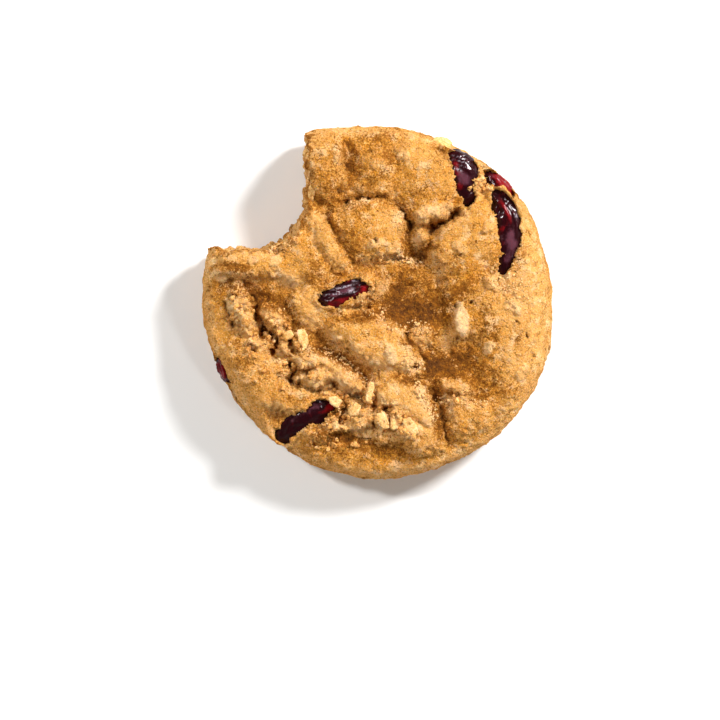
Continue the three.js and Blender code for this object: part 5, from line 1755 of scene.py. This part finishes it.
def cranberry_points(ball, berry, seed):
    """Wrinkles, flattens and bows a ball into a dried berry along X."""
    x, y, z = ball.T
    start, end = (np.array(place) for place in berry.ends)
    size = np.array((float(np.linalg.norm(end - start)), berry.width, berry.thick)) / 2
    long, wide, deep, fading = berry.wrinkles
    plain = np.stack([np.sign(x) * np.abs(x) ** 0.85, y, z], axis=1) * size
    stretched = plain / np.array((long, wide, wide)) + seed * 3.1
    drift = (0.30 * swell_noise(plain, 2.6, 90 + seed))[:, None]
    ridge = 1 - 1.7 * np.abs(swell_noise(stretched + drift, 1.0, 91 + seed))
    crinkle = 1 - 1.7 * np.abs(swell_noise(stretched + 1.7 * drift, 0.38, 92 + seed))
    kept = 1 - fading * smooth_step(-0.3, 0.35, x)
    depth = 0.18 * swell_noise(plain, 3.4, 93 + seed)
    depth = depth + kept * (deep * (ridge - 0.6) + 0.09 * (crinkle - 0.6))
    outwards = ball / size
    outwards /= np.linalg.norm(outwards, axis=1, keepdims=True)
    shape = plain + outwards * depth[:, None]
    shape[:, 1] += berry.bow * (1 - x * x) - berry.bow / 2
    return shape, ridge


def berry_axes(berry):
    """Axes and middle of a berry: its X along the axis, its Z towards the side it faces."""
    start, end = (np.array(place) for place in berry.ends)
    along = (end - start) / np.linalg.norm(end - start)
    across = np.cross(np.array(berry.faces, dtype=float), along)
    across /= np.linalg.norm(across)
    return np.stack([along, across, np.cross(along, across)], axis=1), (start + end) / 2


class COOKIE_OT_cranberries(Operator):
    """Build every dried cranberry where its CAD solid lies"""

    bl_idname = "cookie.cranberries"
    bl_label = "Dried cranberries"

    def execute(self, context):
        ball, faces = unit_ball(5)
        material = cranberry_material(context.scene.cranberry_looks)
        for seed, berry in enumerate(CRANBERRIES, 1):
            axes, middle = berry_axes(berry)
            shape, ridge = cranberry_points(ball, berry, seed)
            placed = shape @ axes.T + middle
            x, y, _ = placed.T
            piece = mesh_object(f"dried_cranberry_{berry.name}", placed, faces)
            piece.data.materials.append(material)
            red = patches(x, y, RED_PLACES)
            add_float_attribute(piece.data, "thin", red + 0.25 * np.clip(ridge, 0, 1))
            # Painted sheen and painted glints, by place.
            add_float_attribute(piece.data, "sheen", patches(x, y, SHEEN_PLACES))
            add_float_attribute(piece.data, "sugar", patches(x, y, PAINTED_GLINTS))
            finish_piece(piece, "cranberry", berry.node)
        return {"FINISHED"}


class COOKIE_OT_stage(Operator):
    """Lay the floor, hang the lights and place the camera"""

    bl_idname = "cookie.stage"
    bl_label = "Stage"

    def execute(self, context):
        stage = context.scene.cookie_stage
        corners = [(x * FLOOR_REACH, y * FLOOR_REACH, 0) for x, y in ((-1, -1), (1, -1), (1, 1), (-1, 1))]
        floor = mesh_object("floor", corners, [(0, 1, 2), (0, 2, 3)])
        floor.data.materials.append(floor_material(stage.floor))
        context.scene.world = even_light(stage.fill)
        add_light("key_light", KEY_DISTANCE, KEY_SIZE, stage.key, stage.key_azimuth, stage.key_height)
        for name, distance, size, share, azimuth, height in SIDE_PANELS:
            add_light(name, distance, size, share * stage.panel, math.radians(azimuth), math.radians(height))
        add_camera(context.scene, stage)
        context.scene.view_settings.view_transform = "Standard"
        context.scene.view_settings.look = "None"
        return {"FINISHED"}


def even_light(strength):
    """Soft light from all round, dimmer from straight above."""
    world = bpy.data.worlds.new("even_light")
    world.use_nodes = True
    background = world.node_tree.nodes["Background"]
    bench = NodeBench(world.node_tree)
    towards = bench.add("ShaderNodeTexCoord").outputs["Generated"]
    height = bench.add("ShaderNodeSeparateXYZ", {0: towards}).outputs["Z"]
    light = bench.mix(bench.band(height, 0.35, 0.85), colour(WALL_LIGHT), colour(CEILING_LIGHT))
    world.node_tree.links.new(light, background.inputs["Color"])
    background.inputs["Strength"].default_value = strength
    return world


def add_light(name, distance, size, energy, azimuth, height):
    """A round light panel that looks at the cookie."""
    light = bpy.data.lights.new(name, "AREA")
    light.shape = "DISK"
    light.size = size
    light.energy = energy
    lamp = bpy.data.objects.new(name, light)
    flat = math.cos(height)
    direction = Vector((flat * math.cos(azimuth), flat * math.sin(azimuth), math.sin(height)))
    lamp.location = direction * distance
    lamp.rotation_euler = direction.to_track_quat("Z", "Y").to_euler()
    bpy.context.scene.collection.objects.link(lamp)


def add_camera(scene, stage):
    """A camera straight above, which sees the frame width at the height of the face."""
    camera = bpy.data.cameras.new("camera")
    camera.sensor_width = 36
    camera.lens = camera.sensor_width * stage.camera_distance / stage.frame_width
    camera.clip_start = 0.01
    holder = bpy.data.objects.new("camera", camera)
    height = stage.camera_distance + scene.cookie_sizes.plateau_height
    holder.location = (FRAME_MIDDLE[0] * MM, FRAME_MIDDLE[1] * MM, height)
    scene.collection.objects.link(holder)
    scene.camera = holder


# ------------------------------------------------------------------ panel and registration

STEPS = (COOKIE_OT_stage, COOKIE_OT_dough, COOKIE_OT_oat_flakes, COOKIE_OT_crumbs, COOKIE_OT_cranberries)
SETTINGS = (("cookie_sizes", CookieSizes), ("cookie_colours", CookieColours),
            ("cranberry_looks", CranberryLooks), ("cookie_stage", CookieStage))


class COOKIE_PT_panel(Panel):
    """Lists the cookie's pieces and their settings"""

    bl_idname = "COOKIE_PT_panel"
    bl_label = "Oatmeal Cranberry Cookie"
    bl_space_type = "VIEW_3D"
    bl_region_type = "UI"
    bl_category = "Cookie"

    def draw(self, context):
        for step in STEPS:
            self.layout.operator(step.bl_idname)
        for name, group in SETTINGS:
            box = self.layout.box()
            box.label(text=group.__doc__)
            for setting in group.__annotations__:
                box.prop(getattr(context.scene, name), setting)


CLASSES = (*[group for _, group in SETTINGS], *STEPS, COOKIE_PT_panel)


def register():
    for cls in CLASSES:
        bpy.utils.register_class(cls)
    for name, group in SETTINGS:
        setattr(bpy.types.Scene, name, PointerProperty(type=group))


def unregister():
    for name, _ in SETTINGS:
        delattr(bpy.types.Scene, name)
    for cls in reversed(CLASSES):
        bpy.utils.unregister_class(cls)


def main():
    register()
    bpy.ops.cookie.stage()
    bpy.ops.cookie.dough()
    bpy.ops.cookie.oat_flakes()
    bpy.ops.cookie.crumbs()
    bpy.ops.cookie.cranberries()


if __name__ == "__main__":
    main()
